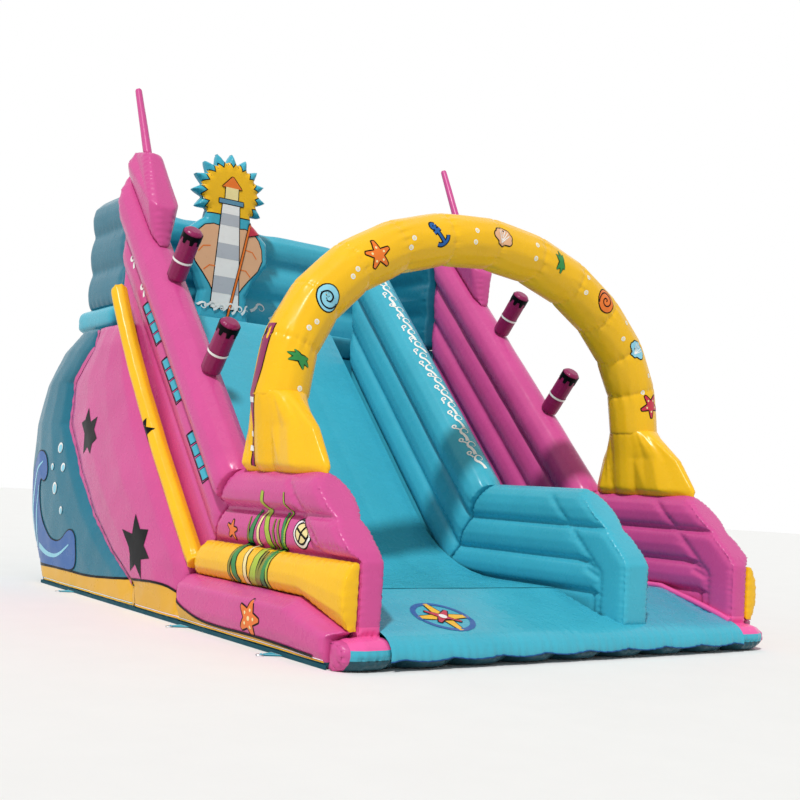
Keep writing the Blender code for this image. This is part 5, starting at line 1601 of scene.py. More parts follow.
@dataclass
class FrontApron:
    """Cloth that runs over the front roll, gathered along its lower edge and piped there."""

    half: float = 2.0
    depth: float = 0.46
    profile: tuple[Point2, ...] = (
        (-2.86, 0.322), (-2.94, 0.298), (-3.0, 0.281), (-3.05, 0.266), (-3.10, 0.246), (-3.145, 0.218),
        (-3.178, 0.182), (-3.196, 0.142), (-3.202, 0.104), (-3.198, 0.078),
    )
    step: float = 0.022

    def build(self) -> Piece:
        """Hang the apron.

        Returns:
            The apron.
        """
        line = np.array(resampled(self.profile, 0.02, closed=False))
        across = np.linspace(-self.half, self.half, int(2 * self.half / self.step) + 1)
        ripple, fine = waves(across, 0.085, 3), waves(across, 0.032, 5)
        scallop = np.abs(np.sin(math.pi * across / 0.47))
        verts = []
        for row, ((y, z), (ahead_y, ahead_z)) in enumerate(zip(line, unit_rows(np.gradient(line, axis=0)))):
            share = row / (len(line) - 1)
            for column, x in enumerate(across):
                push = share**2 * (0.004 * scallop[column] - 0.011 * ripple[column]) - share**5 * 0.006 * fine[column]
                drop = share**3 * (0.020 * scallop[column] - 0.012)
                verts.append((x, y + ahead_z * push, z - ahead_y * push - drop))
        wide = len(across)
        apron = wear(new_mesh("front_apron", verts, grid_faces(len(line), wide), tarpaulin(Tint.TEAL)))
        edge = [Vector(point) + Vector((0, -0.002, 0)) for point in verts[-wide:]]
        welt("front_apron_piping", [edge], 0.0045, 0.01, webbing(Tint.HEM_BLUE))
        return apron


@dataclass
class SlideCover:
    """The slide's cover: one sheet welded down in strips, that billows a little between its welds."""

    node: str = "slide_cover"
    margin: float = 0.012
    columns: int = 96
    step: float = 0.03
    welds: int = 4
    billow: float = 0.008
    edge_dip: float = 0.010
    edge_reach: float = 0.05
    pucker: float = 0.007
    pucker_pitch: float = 0.13
    lowest: float = -0.003

    def profile(self) -> np.ndarray:
        """The cover's top line in the middle of the lane, as even (y, z) points.

        Returns:
            The points.
        """
        tree = cad_tree(self.node)
        (_, low, _), (_, high, _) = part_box(self.node)
        middle = (SITE.slide_left + SITE.slide_right) / 2
        places = np.linspace(low + 1e-4, high - 1e-4, 900)
        rays = [tree.ray_cast(Vector((middle, y, 9.0)), Vector(DOWN))[0] for y in places]
        line = np.array([(place.y, place.z) for place in rays if place is not None])
        lengths = np.concatenate([[0], np.cumsum(np.linalg.norm(np.diff(line, axis=0), axis=1))])
        even = np.linspace(0, lengths[-1], int(lengths[-1] / self.step) + 1)
        return np.stack([np.interp(even, lengths, line[:, 0]), np.interp(even, lengths, line[:, 1])], axis=1)

    def rise(self, across: np.ndarray, rows: np.ndarray) -> np.ndarray:
        """How far the sheet stands off its bed.

        Args:
            across: X of each column.
            rows: Length up to each row.

        Returns:
            The distance by row and column.
        """
        left, right = float(across[0]), float(across[-1])
        lobes = np.abs(np.sin(math.pi * self.welds * ((across - left) / (right - left)))) ** 0.7
        made = self.billow * lobes[None, :] * np.ones(len(rows))[:, None]
        made -= self.edge_dip * fading(np.minimum(across - left, right - across), self.edge_reach)[None, :]
        lines = [(left, 1.0, 1), (right, 1.0, 2)]
        lines += [(left + (right - left) * weld / self.welds, 0.4, 10 + weld) for weld in range(1, self.welds)]
        for place, depth, seed in lines:
            fade = fading(np.abs(across - place), self.pucker_pitch, 1.5)
            made -= self.pucker * depth * fade[None, :] * waves(rows, self.pucker_pitch, seed)[:, None]
        made *= (1 - fading(np.minimum(rows, rows[-1] - rows), self.edge_reach))[:, None]
        return np.maximum(made, self.lowest)

    def build(self) -> Cloth:
        """Lay the sheet over the beds.

        Returns:
            The cover by name.
        """
        line = self.profile()
        left, right = SITE.slide_left + self.margin, SITE.slide_right - self.margin
        across, rows = np.linspace(left, right, self.columns), np.arange(len(line)) * self.step
        ahead, rise = unit_rows(np.gradient(line, axis=0)), self.rise(across, rows)
        verts = [
            (x, y - ahead_z * rise[row, column], z + ahead_y * rise[row, column])
            for row, ((y, z), (ahead_y, ahead_z)) in enumerate(zip(line, ahead))
            for column, x in enumerate(across)
        ]
        cover = new_mesh("slide_cover_sheet", verts, grid_faces(len(line), self.columns), tarpaulin(Tint.TEAL))
        wear(cover, [self.node])
        return {cover.name: cover}


@dataclass
class Walls:
    """The lobed walls beside and between the lanes, and those round the platform."""

    fine: float = 0.016
    coarse: float = 0.024
    wall: float = 0.32
    knee: float = 0.80
    setback: float = 0.142
    chamfer: float = 0.63
    gusset: float = 0.30
    hem: float = 0.02
    brow: float = 0.06
    skirt: float = 0.31

    def gusset_lines(self, middle: float) -> tuple[tuple[Vector, ...], ...]:
        """The corner seams of a landing wall's front, on both of its sides.

        Args:
            middle: X of the wall's middle.

        Returns:
            The lines.
        """
        lean, top = math.atan2(SITE.wall_top - self.knee, self.chamfer), SITE.wall_top - self.brow
        lines = []
        for inset, low in ((self.gusset, 0.30), (self.hem, 0.28)):
            knee, foot = self.knee - inset * (1 - math.cos(lean)) / math.sin(lean), self.setback + inset
            corners = ((foot, low), (foot, knee), (foot + (top - knee) / math.tan(lean), top))
            for side, _ in SIDES:
                lines.append(tuple(Vector((middle + side * self.wall / 2, SITE.y(y), z)) for y, z in corners))
        return tuple(lines)

    def build(self) -> Cloth:
        """Blow up the walls.

        Returns:
            The walls by name.
        """
        made = {}
        for side, middle, tint, skirts, grid in (
            ("left", -SITE.side_middle, Tint.PINK, 1, self.fine + 0.002),
            ("divider", SITE.divider_middle, Tint.TEAL, 0, self.fine + 0.002),
            ("right", SITE.side_middle, Tint.PINK, 1, self.coarse),
        ):
            made |= blow_up(
                [f"{side}_landing_wall"], tint, grid=self.fine, lines=self.gusset_lines(middle),
                bands=(Band(Tint.BRIGHT_PINK, (((0.0, 0.0, self.skirt), DOWN),)),) * skirts,
                joints=(Joint(SITE.kink_way(1.0)), Joint(DOWN, 0.03)), pull=0.013, pull_reach=0.032, pucker=0.011,
                pucker_reach=0.05, pitch=0.05, crease=0.014, rounds=3,
            )
            joints = (Joint(SITE.kink_way(-1.0)),)
            made |= blow_up([f"{side}_slope_wall"], tint, grid=grid, pitch=0.14, crease=0.012, rounds=4, joints=joints)
        around = dict(colour="teal", grid=self.coarse, pitch=0.13)
        sides = [f"{name}_platform_wall" for _, name in SIDES]
        made |= blow_up(sides, Tint.DARK_TEAL, **around, joints=(Joint(FORWARD, 0.05),))
        spans = [(x, 3.17, 4.42) for x in (-SITE.baffle, 0.0, SITE.baffle)]
        joints = tuple(Joint((side, 0.0, 0.0), 0.06) for side, _ in SIDES)
        lines = rear_welds("back_wall", spans)
        creases = dict(crease=0.028, crease_reach=0.12, lines_creased=True, lines=lines)
        return made | blow_up(["back_wall"], Tint.TEAL, **around, **creases, joints=joints)


@dataclass
class Hull:
    """The rear body and the panels, trims and ledges of both flanks."""

    # Height below which the panels are dyed in painted shade.
    hem: float = 0.052
    low: float = 0.26
    high: float = 2.88
    zip_low: float = 1.04
    zip_high: float = 1.48

    def build(self) -> Cloth:
        """Blow up the hull.

        Returns:
            The pieces by name.
        """
        weld, low, high = SITE.baffle, self.low, self.high
        spans = ((-weld, low, self.zip_low), (-weld, self.zip_high, high), (0.0, low, high), (weld, low, high))
        made = blow_up(
            ["rear_body"], Tint.DARK_TEAL, grid=0.034, pitch=0.16, pull=0.014, pucker_reach=0.12, valley_share=1.0,
            swell=0.008, crease=0.045, crease_reach=0.20, lines_creased=True, lines=rear_welds("rear_body", spans),
        )
        # Below the hem line the panels are dyed in painted shade, the dark of the base's shaded underside.
        bands = (Band(Tint.UNDERSIDE, (((0.0, 0.0, self.hem), DOWN),)),)
        panel = dict(pucker=0.005, pitch=0.15, swell=0.006, pull=0.008, pull_reach=0.03, ridge=60, bands=bands)
        trim = dict(grid=0.013, rounds=3, pull=0.005, pull_reach=0.025, pucker=0.007, pucker_reach=0.05, pitch=0.09)
        for side, grid in (("left", 0.02), ("right", 0.03)):
            made |= blow_up([f"{side}_rear_panel"], Tint.DARK_TEAL, grid=grid, **panel)
            made |= blow_up([f"{side}_flank_panel", f"{side}_flank_landing"], Tint.PINK, grid=grid, **panel)
            made |= blow_up([f"{side}_trim_panel"], Tint.YELLOW, **trim)
            made |= blow_up([f"{side}_trim_tube"], Tint.YELLOW, **trim, joints=(Joint(DOWN_SLOPE, 0.05),))
        return made


@dataclass
class TowersAndMasts:
    """The two towers at the head of the slide, their masts and the four funnels on the side walls."""

    grid: float = 0.013
    fine: float = 0.008

    def build(self) -> Cloth:
        """Blow up the towers, masts and funnels.

        Returns:
            The pieces by name.
        """
        made = {}
        thin = dict(grid=self.fine, rounds=3, swell=0.001, swell_size=0.2)
        for _, side in SIDES:
            made |= blow_up(
                [f"{side}_tower"], Tint.PINK, grid=self.grid, pull=0.008, pull_reach=0.03, pucker=0.008,
                pucker_reach=0.06, pitch=0.07, valley=14, rounds=8,
            )
            mast = dict(pull=0.002, pull_reach=0.01, pucker=0.002, pucker_reach=0.03, pitch=0.03)
            made |= blow_up([f"{side}_mast"], Tint.PINK, **thin, **mast)
            for node in (f"{side}_lower_funnel", f"{side}_upper_funnel"):
                funnel = dict(pull=0.003, pull_reach=0.02, pucker=0.003, pucker_reach=0.04, pitch=0.04)
                made |= blow_up([node], Tint.MAGENTA, **thin, **funnel)
                FunnelTrim(node).build()
        return made


@dataclass
class FunnelTrim:
    """A white ring and a black castellated border round a funnel."""

    node: str
    radius: float = 0.10
    lift: float = 0.002
    length: float = 0.54
    lean: float = math.radians(40)
    ring_low: float = 0.36
    ring_width: float = 0.045
    rim_low: float = 0.86
    rim_high: float = 0.955
    notch: float = 0.09
    points: int = 64
    rows: int = 5

    def build(self) -> None:
        """Lay both bands round the funnel."""
        points = np.array([vertex.co for vertex in bpy.data.objects[self.node].data.vertices])
        ahead = np.array([0.0, -math.sin(self.lean), math.cos(self.lean)])
        reach = points @ ahead
        mouth = Vector(points[reach > reach.max() - 0.03].mean(axis=0))
        self.band("ring", mouth, [self.ring_low] * self.points, self.ring_low + self.ring_width, Tint.WHITE)
        lows = [self.rim_low - (self.notch if index // 4 % 2 else 0.0) for index in range(self.points)]
        self.band("castellations", mouth, lows, self.rim_high, Tint.BLACK)

    def band(self, title: str, mouth: Vector, lows: Sequence[float], high: float, tint: Tint) -> None:
        """A band of cloth round the funnel between shares of its length from the foot.

        Args:
            title: What it is.
            mouth: The centre of the funnel's mouth.
            lows: Its lower edge, all the way round.
            high: Its upper edge.
            tint: Its colour.
        """
        side, ahead = Vector((1.0, 0.0, 0.0)), Vector((0.0, -math.sin(self.lean), math.cos(self.lean)))
        other, verts, faces = ahead.cross(side), [], []
        for index, low in enumerate(lows):
            angle = 2 * math.pi * index / self.points
            out = (side * math.cos(angle) + other * math.sin(angle)) * (self.radius + self.lift)
            for step in range(self.rows):
                share = low + (high - low) * step / (self.rows - 1)
                verts.append(mouth - ahead * self.length * (1 - share) + out)
            base, after = index * self.rows, (index + 1) % self.points * self.rows
            for step in range(self.rows - 1):
                faces.append((base + step, after + step, after + step + 1, base + step + 1))
        wear(new_mesh(f"{self.node}_{title}", verts, faces, vinyl(tint)))


@dataclass
class Arch:
    """The arch over the landing, sewn from short segments, and its two flared legs."""

    segments: int = 12
    grid: float = 0.014
    radius: float = 0.25
    rise: float = 1.64
    spring: float = 2.0509
    station: float = 1.60

    def centre(self, angle: float) -> Vector:
        """A point of the arch's middle line."""
        x, z = SITE.side_middle * math.cos(angle), self.spring + self.rise * math.sin(angle)
        return Vector((x, SITE.y(self.station), z))

    def ring(self, angle: float) -> tuple[Vector, ...]:
        """A seam round the tube.

        Args:
            angle: Where it lies on the arch.

        Returns:
            Its points.
        """
        ahead = (self.centre(angle + 0.01) - self.centre(angle - 0.01)).normalized()
        back = Vector((0.0, 1.0, 0.0))
        side = ahead.cross(back)
        turns = [turn * math.pi / 16 for turn in range(33)]
        return tuple(
            self.centre(angle) + side * self.radius * math.cos(turn) + back * self.radius * math.sin(turn)
            for turn in turns
        )

    def build(self) -> Cloth:
        """Blow up the arch and its legs.

        Returns:
            The pieces by name.
        """
        rings = tuple(self.ring(math.pi * index / self.segments) for index in range(1, self.segments))
        made = blow_up(
            ["arch_tube"], Tint.YELLOW, grid=self.grid, rounds=24, pull=0.006, pull_reach=0.02, pucker=0.011,
            pucker_reach=0.08, pitch=0.10, valley=180, ridge=181, lines=rings, joints=(Joint(DOWN, 0.04),),
        )
        return made | blow_up(
            [f"{side}_arch_leg" for _, side in SIDES], Tint.YELLOW, grid=self.grid, rounds=8, pull=0.006,
            pull_reach=0.03, pucker=0.007, pucker_reach=0.06, pitch=0.10, ridge=70,
            joints=(Joint(UP, 0.02), Joint(DOWN, 0.03)),
        )


# ---------------------------------------------------------------- prints of each sub-assembly

FLANK = ("rear_panel", "flank_panel", "flank_landing")


def on_side(side: float, name: str, cloth: Cloth, parts: Sequence[str] = FLANK) -> Projector:
    """A projector onto parts of one side of the slide, by (y, z)."""
    return from_side(side, [cloth[f"{name}_{part}"] for part in parts])


@dataclass
class SidePrints:
    """The prints on the outside of one flank, landing wall and slope wall."""

    side: float
    name: str
    cloth: Cloth
    sand_foot: float = 0.072
    sand_top: tuple[Point2, ...] = (
        (3.74, 0.16), (3.42, 0.20), (2.42, 0.22), (1.80, 0.21), (1.04, 0.26), (0.52, 0.30), (-0.06, 0.33),
        (-0.41, 0.27), (-0.63, 0.17), (-0.95, 0.10), (-1.38, 0.09), (-1.64, 0.10), (-2.10, 0.098), (-2.44, 0.09),
        (-2.80, 0.078),
    )
    holes: tuple[tuple[Point2, float, int], ...] = (((1.95, 1.72), 0.30, 3), ((0.50, 0.60), 0.34, 8))
    swell: tuple[Point2, ...] = (
        (3.70, 0.22), (3.81, 0.75), (3.73, 1.25), (3.50, 1.53), (3.22, 1.50), (3.10, 1.28), (3.22, 1.16),
        (3.36, 1.22), (3.42, 1.02), (3.28, 0.72), (2.98, 0.52), (2.62, 0.50), (2.36, 0.68), (2.16, 0.62),
        (2.12, 0.40), (2.18, 0.23), (2.60, 0.23), (3.20, 0.22),
    )
    streaks: tuple[tuple[float, tuple[Point2, ...]], ...] = (
        (0.08, ((3.64, 0.45), (3.66, 0.95), (3.54, 1.29), (3.30, 1.40))),
        (0.045, ((3.49, 0.40), (3.50, 0.80), (3.44, 1.04), (3.42, 1.12))),
        (0.06, ((3.40, 0.42), (3.10, 0.34), (2.70, 0.34), (2.34, 0.50))),
    )
    bubbles: tuple[Triple, ...] = (
        (2.86, 1.10, 0.07), (2.70, 1.34, 0.05), (2.84, 1.56, 0.06), (2.62, 0.86, 0.045), (2.98, 1.34, 0.04),
    )
    kelp: tuple[tuple[float, float, float, float, Tint], ...] = (
        (-1.40, 0.030, 0.02, 1.02, Tint.OLIVE), (-1.49, 0.070, 0.05, 1.08, Tint.GREEN),
        (-1.63, 0.050, 0.04, 1.08, Tint.CREAM), (-1.76, 0.085, 0.06, 1.24, Tint.LIME),
        (-1.85, 0.030, 0.03, 1.02, Tint.OLIVE), (-1.91, 0.045, 0.04, 1.02, Tint.OLIVE),
        (-1.98, 0.060, 0.03, 1.08, Tint.GREEN), (-2.04, 0.030, 0.02, 1.24, Tint.LIME),
    )
    kelp_foot: float = 0.44
    ledge_star: Point2 = (-1.86, 0.23)
    windows: tuple[float, ...] = (0.62, 1.62, 2.44)
    panes: int = 4
    pane: float = 0.115
    gap: float = 0.032
    low: float = 0.495
    high: float = 0.665
    skew: float = 0.05
    frame: float = 0.02

    def artist(self, title: str, *parts: str) -> Artist:
        """What collects the prints on parts of this side."""
        return Artist(f"{self.name}_{title}", on_side(self.side, self.name, self.cloth, parts))

    def build(self) -> None:
        """Lay all prints of this side."""
        self.flank()
        self.landing()
        self.ledge()
        self.wall()

    def flank(self) -> None:
        """The sand bank, torn holes, and a generic breaking wave with bubbles."""
        artist = self.artist("flank", *FLANK)
        top = rounded(self.sand_top, 2, closed=False)
        bottom = [(y, self.sand_foot) for y, _ in reversed(self.sand_top)]
        artist.patch([*top, *bottom], Tint.SAND, spacing=0.022)
        artist.line(top, 0.022, Tint.BLACK, 4)
        for at, size, seed in self.holes:
            artist.patch(moved(jagged(seed, 13), at, size), Tint.BLACK)
        artist.bordered(rounded(self.swell), Tint.BLUE, 0.014, 5)
        for width, line in self.streaks:
            artist.line(rounded(line, 3, closed=False), narrowed(width, 1, 1, 0.015), Tint.SKY, 6)
        for y, z, size in self.bubbles:
            artist.dot((y, z), size, Tint.WHITE, 4, 0.02)
            artist.dot((y - 0.008, z - 0.008), size * 0.74, Tint.SKY, 5, 0.02)
        artist.finish()
        trim = self.artist("trim", "trim_tube")
        trim.patch(moved(jagged(5, 11), (0.53, 1.72), 0.17), Tint.BLACK, spacing=0.02)
        trim.finish()

    def landing(self) -> None:
        """Kelp, a round window with a cross bar, and a starfish on the landing wall."""
        artist = self.artist("landing", "landing_wall", "trim_panel")
        for y, width, sway, top, tint in self.kelp:
            line = [
                (
                    y + 0.10 - 0.12 * share + sway * math.sin(5.5 * share + y * 9),
                    self.kelp_foot + (top - self.kelp_foot) * share,
                )
                for share in np.linspace(0, 1, 12)
            ]
            for level, full, colour in ((1, width + 0.026, Tint.BLACK), (2, width, tint)):
                artist.line(line, lambda share, full=full: full * (1 - 0.55 * share * share), colour, level)
        at, radius = (-2.27, 0.93), 0.105
        rings = ((1.18, Tint.BLACK), (1.06, Tint.WHITE), (0.86, Tint.BLACK), (0.70, Tint.CREAM))
        for level, (share, tint) in enumerate(rings, 1):
            artist.dot(at, radius * share, tint, level, 0.02, 28)
        for turn in (30, 120):
            x, y = polar(radius * 0.7, math.radians(turn))
            artist.line([(at[0] - x, at[1] - y), (at[0] + x, at[1] + y)], 0.018, Tint.BLACK, 5)
        artist.bordered(moved(star(5, 0.46), (-1.13, 0.89), 0.085, 12), Tint.ORANGE, 0.012)
        artist.finish()

    def ledge(self) -> None:
        """A dotted starfish on the ledge."""
        artist = self.artist("ledge", "flank_landing")
        artist.bordered(moved(star(5, 0.5), self.ledge_star, 0.155, 18), Tint.ORANGE, 0.014)
        for turn in range(5):
            artist.dot(polar(0.07, math.radians(108 + 72 * turn), self.ledge_star), 0.014, Tint.CREAM, 3, 0.01)
        artist.dot(self.ledge_star, 0.02, Tint.CREAM, 3, 0.01)
        artist.finish()

    def wall(self) -> None:
        """Windows and foam on the slope wall."""
        artist = self.artist("slope", "slope_wall")
        for start in self.windows:
            end = start + (self.panes * self.pane + (self.panes - 1) * self.gap) + self.frame
            frame = leaning(start - self.frame, end, self.low - self.frame, self.high + self.frame, self.skew)
            artist.line([SITE.on_slope(*point) for point in [*frame, frame[0]]], 0.014, Tint.BLACK, 1)
            for number in range(self.panes):
                left = start + number * (self.pane + self.gap)
                corners = leaning(left, left + self.pane, self.low, self.high, self.skew)
                artist.bordered([SITE.on_slope(*point) for point in corners], Tint.TEAL, 0.010)
        for number, along in enumerate((3.20, 3.44, 3.66)):
            at = SITE.on_slope(along, 0.56 + 0.05 * (number % 2))
            artist.line(moved(curl(12), at, 0.10, 40), 0.028, Tint.WHITE)
        artist.finish()


@dataclass
class SlidePrints:
    """Foam along the divider and at the head of the slide, and a plain compass on the landing."""

    curls: int = 19
    first: float = 0.62
    reach: float = 3.48
    back_curls: int = 9
    compass: Point2 = (-1.24, -2.80)
    radius: float = 0.24

    def build(self, cloth: Cloth) -> None:
        """Lay the prints.

        Args:
            cloth: Walls and beds by name.
        """
        foam = Artist("divider_foam", from_slope([cloth["divider_slope_wall"]]))
        draw = np.random.default_rng(11)
        for number in range(self.curls):
            along = self.first + self.reach * number / (self.curls - 1)
            at = (SITE.divider_middle + draw.uniform(-0.02, 0.02), along)
            foam.line(moved(curl(14), at, 0.105, draw.uniform(50, 95)), tapered(0.034, 1.1), Tint.WHITE)
            foam.line(moved(curl(9), (at[0] - 0.07, at[1] + 0.11), 0.05, draw.uniform(40, 100)), 0.015, Tint.WHITE)
        foam.finish()
        back = Artist("head_foam", from_front(SITE.y(SITE.platform_edge) + 0.1, [cloth["back_wall"]]))
        for number in range(self.back_curls):
            at = (-1.62 + 0.26 * number, 3.42 + 0.04 * math.sin(2.3 * number))
            back.line(moved(curl(12), at, 0.12, 10 * math.sin(number)), tapered(0.036, 1.1), Tint.WHITE)
        back.finish()
        beds = [cloth[name] for name in ("slide_landing_bed", "slide_cover_sheet", "front_apron")]
        ramp = Artist("ramp_ring", from_above(beds))
        circle = [polar(self.radius, math.pi * turn / 24, self.compass) for turn in range(49)]
        ramp.line(circle, 0.045, Tint.BLUE)
        ramp.bordered(moved(star(4, 0.26), self.compass, 0.25, 0), Tint.YELLOW, 0.012)
        ramp.bordered(moved(star(4, 0.30), self.compass, 0.15, 45), Tint.RED, 0.010, 4)
        ramp.dot(self.compass, 0.035, Tint.WHITE, 6, 0.015)
        ramp.finish()


@dataclass(frozen=True)
class SeaMotif:
    """A generic sea motif with a dark border, of a size, turn and colour."""

    artist: Artist
    at: Point2
    size: float
    turn: float
    tint: Tint

    def body(self, outline: Sequence[Point2]) -> None:
        """Fill the motif's outline."""
        self.artist.bordered(moved(outline, self.at, self.size, self.turn), self.tint, 0.012, spacing=0.02)

    def starfish(self) -> None:
        """A starfish with dots on its arms."""
        self.body(star(5, 0.42))
        for arm in range(5):
            place = polar(self.size * 0.5, math.radians(self.turn + 90 + 72 * arm), self.at)
            self.artist.dot(place, self.size * 0.09, Tint.CREAM, 3, 0.01, 10)

    def scallop(self) -> None:
        """A scallop shell with its ribs."""
        self.body(fan())
        for rib in range(-2, 3):
            ends = [(0.0, -0.40), (0.62 * math.sin(rib * 0.42), 0.60 * math.cos(rib * 0.42))]
            self.artist.line(moved(ends, self.at, self.size, self.turn), 0.009, Tint.WHITE, 3)

    def snail(self) -> None:
        """A coiled shell."""
        self.body(disc(0.92, 22, 0.86))
        self.artist.line(moved(spiral(1.7), self.at, self.size * 0.78, self.turn), 0.013, Tint.BLACK, 3)

    def kelp(self) -> None:
        """A sprig of kelp with three blades."""
        for lean in (-34, 0, 34):
            blade = [(0.34 * math.sin(3.1 * share) * 0.4, -0.9 + 1.8 * share) for share in np.linspace(0, 1, 9)]
            line = moved(blade, self.at, self.size * (0.8 if lean else 1.0), self.turn + lean)
            for level, widest, tint in ((1, 0.066, Tint.BLACK), (2, 0.044, self.tint)):
                self.artist.line(line, bulging(widest), tint, level)

    def anchor(self) -> None:
        """A ship's anchor."""
        arms = [(0.62 * math.sin(a), -0.28 - 0.42 * math.cos(a)) for a in np.linspace(-1.25, 1.25, 11)]
        ring = [(0.16 * math.cos(a), 0.78 + 0.16 * math.sin(a)) for a in np.linspace(0, 2 * math.pi, 13)]
        for level, width, tint in ((1, 0.048, Tint.BLACK), (2, 0.026, self.tint)):
            for line in ([(0, -0.68), (0, 0.62)], [(-0.34, 0.36), (0.34, 0.36)], arms, ring):
                self.artist.line(moved(line, self.at, self.size, self.turn), width, tint, level)


@dataclass
class ArchPrints:
    """Sea motifs round the front of the arch, and the banded strip down its left flank."""

    arch: Arch = field(default_factory=Arch)
    size: float = 0.125
    order: tuple[tuple[Callable[[SeaMotif], None], Tint], ...] = (
        (SeaMotif.starfish, Tint.RED), (SeaMotif.scallop, Tint.SKY), (SeaMotif.snail, Tint.ORANGE),
        (SeaMotif.kelp, Tint.GREEN), (SeaMotif.scallop, Tint.PEACH), (SeaMotif.anchor, Tint.BLUE),
        (SeaMotif.starfish, Tint.ORANGE), (SeaMotif.snail, Tint.SKY), (SeaMotif.kelp, Tint.GREEN),
    )
    strip: tuple[Point2, ...] = (
        (-1.615, 2.63), (-1.605, 2.46), (-1.59, 2.25), (-1.555, 2.01), (-1.49, 1.73), (-1.43, 1.44),
    )
    strip_bands: tuple[Point2, ...] = ((-1.55, 1.98), (-1.483, 1.70), (-1.455, 1.58))
    strip_width: float = 0.10

    def build(self, cloth: Cloth) -> None:
        """Lay the prints.

        Args:
            cloth: The arch's pieces by name.
        """
        artist = Artist("arch", from_front(-5.0, [cloth["arch_tube"]]))
        for number, (draw, tint) in enumerate(self.order):
            angle = math.radians(9 + 162 * number / (len(self.order) - 1))
            centre = self.arch.centre(angle)
            turn = math.degrees(angle) - 90 + (24 if number % 2 else -20)
            draw(SeaMotif(artist, (centre.x, centre.z + 0.02), self.size, turn, tint))
            for step in (-1, 1):
                beside = self.arch.centre(angle + 0.15 + 0.02 * step)
                place = (beside.x + 0.05 * step, beside.z + 0.06 * step)
                artist.dot(place, 0.024, Tint.WHITE, 1, 0.012, 14)
                artist.dot(place, 0.013, Tint.CREAM, 2, 0.012, 14)
        artist.finish()
        strip = Artist("arch_strip", from_side(-1.0, [cloth["arch_tube"], cloth["left_arch_leg"]]))
        for level, rim, tint in ((1, 0.02, Tint.BLACK), (2, 0.0, Tint.MAGENTA)):
            strip.line(self.strip, narrowed(self.strip_width, 0.75, 3, rim), tint, level)
        for y, z in self.strip_bands:
            strip.line([(y - 0.045, z), (y + 0.045, z + 0.01)], 0.045, Tint.WHITE, 3)
        strip.finish()


@dataclass
class Lighthouse:
    """The flat padded figure of a lighthouse on the platform, with its beam, its rocks and foam in print."""

    x: float = -0.74
    height: float = 4.738
    reach: float = 0.44
    inner: float = 0.70
    start: float = math.radians(-38)
    rays: int = 11
    rocks: tuple[Point2, ...] = (
        (-0.24, 3.66), (-0.47, 3.92), (-0.44, 4.18), (-0.28, 4.34), (0.0, 4.30), (0.28, 4.34), (0.44, 4.18),
        (0.47, 3.92), (0.24, 3.66), (0.14, 3.50), (-0.14, 3.50),
    )
    cracks: tuple[Triple, ...] = ((-0.31, 4.02, 30), (0.31, 4.04, -30), (-0.22, 3.80, 20), (0.24, 3.80, -24))
    foot: float = 3.34
    top: float = 4.62
    belts: tuple[Point2, ...] = ((3.52, 3.72), (3.94, 4.12), (4.34, 4.48))
    head: tuple[tuple[float, float, float, float, Tint], ...] = (
        (4.60, 0.16, 4.65, 0.16, Tint.SLATE), (4.66, 0.085, 4.80, 0.085, Tint.CREAM),
        (4.80, 0.13, 4.93, 0.01, Tint.ORANGE),
    )
    curls: int = 6

    def build(self) -> Cloth:
        """Blow the panel up.

        Returns:
            The panel by name.
        """
        sizes = dict(pull=0.006, pull_reach=0.03, pucker=0.004, pucker_reach=0.04, pitch=0.06, swell=0.002)
        return blow_up(["lighthouse_panel"], Tint.TEAL, grid=0.012, **sizes)

    def half(self, z: float) -> float:
        """Half the tower's width at a height."""
        return 0.185 - 0.075 * (z - self.foot) / 1.28

    def print_on(self, cloth: Cloth) -> None:
        """Lay the prints on the panel's front.

        Args:
            cloth: The panel by name.
        """
        artist = Artist("lighthouse", from_front(SITE.y(SITE.platform_back) - 1.2, [cloth["lighthouse_panel"]]))
        x = self.x
        burst = [
            polar(
                self.reach * (self.inner if index % 2 else 1.0),
                self.start + (math.pi - 2 * self.start) * index / (2 * self.rays),
                (x, self.height),
            )
            for index in range(2 * self.rays + 1)
        ]
        artist.bordered(burst, Tint.YELLOW, 0.012, spacing=0.02)
        rocks = rounded([(x + across, z) for across, z in self.rocks], 1)
        artist.bordered(rocks, Tint.PEACH, 0.012, 4, 0.02)
        for across, z, turn in self.cracks:
            crack = moved([(-0.09, 0.0), (0.0, 0.035), (0.09, 0.0)], (x + across, z), 1.0, turn)
            artist.line(crack, 0.014, Tint.ORANGE, 5)
        tower = trapezoid(x, self.foot, self.half(self.foot), self.top, self.half(self.top))
        artist.bordered(tower, Tint.WHITE, 0.012, 6, 0.02)
        for low, high in self.belts:
            artist.patch(trapezoid(x, low, self.half(low), high, self.half(high)), Tint.GREY, 7, 0.02)
        for low, near, high, far, tint in self.head:
            artist.bordered(trapezoid(x, low, near, high, far), tint, 0.010, 8, 0.015)
        pole = [(x + 0.27, 4.40), (x + 0.17, 3.86), (x + 0.04, 3.22)]
        artist.line(pole, 0.040, Tint.BLACK, 9)
        artist.line(pole, 0.024, Tint.ORANGE, 10)
        artist.bordered([(x + 0.27, 4.42), (x + 0.43, 4.31), (x + 0.24, 4.25)], Tint.RED, 0.010, 9, 0.015)
        for number in range(self.curls):
            at = (x - 0.30 + 0.12 * number, 3.33 + 0.02 * (number % 2))
            artist.line(moved(curl(14), at, 0.085, 8 * number - 20), tapered(0.028, 1.15), Tint.WHITE, 11)
        artist.finish()


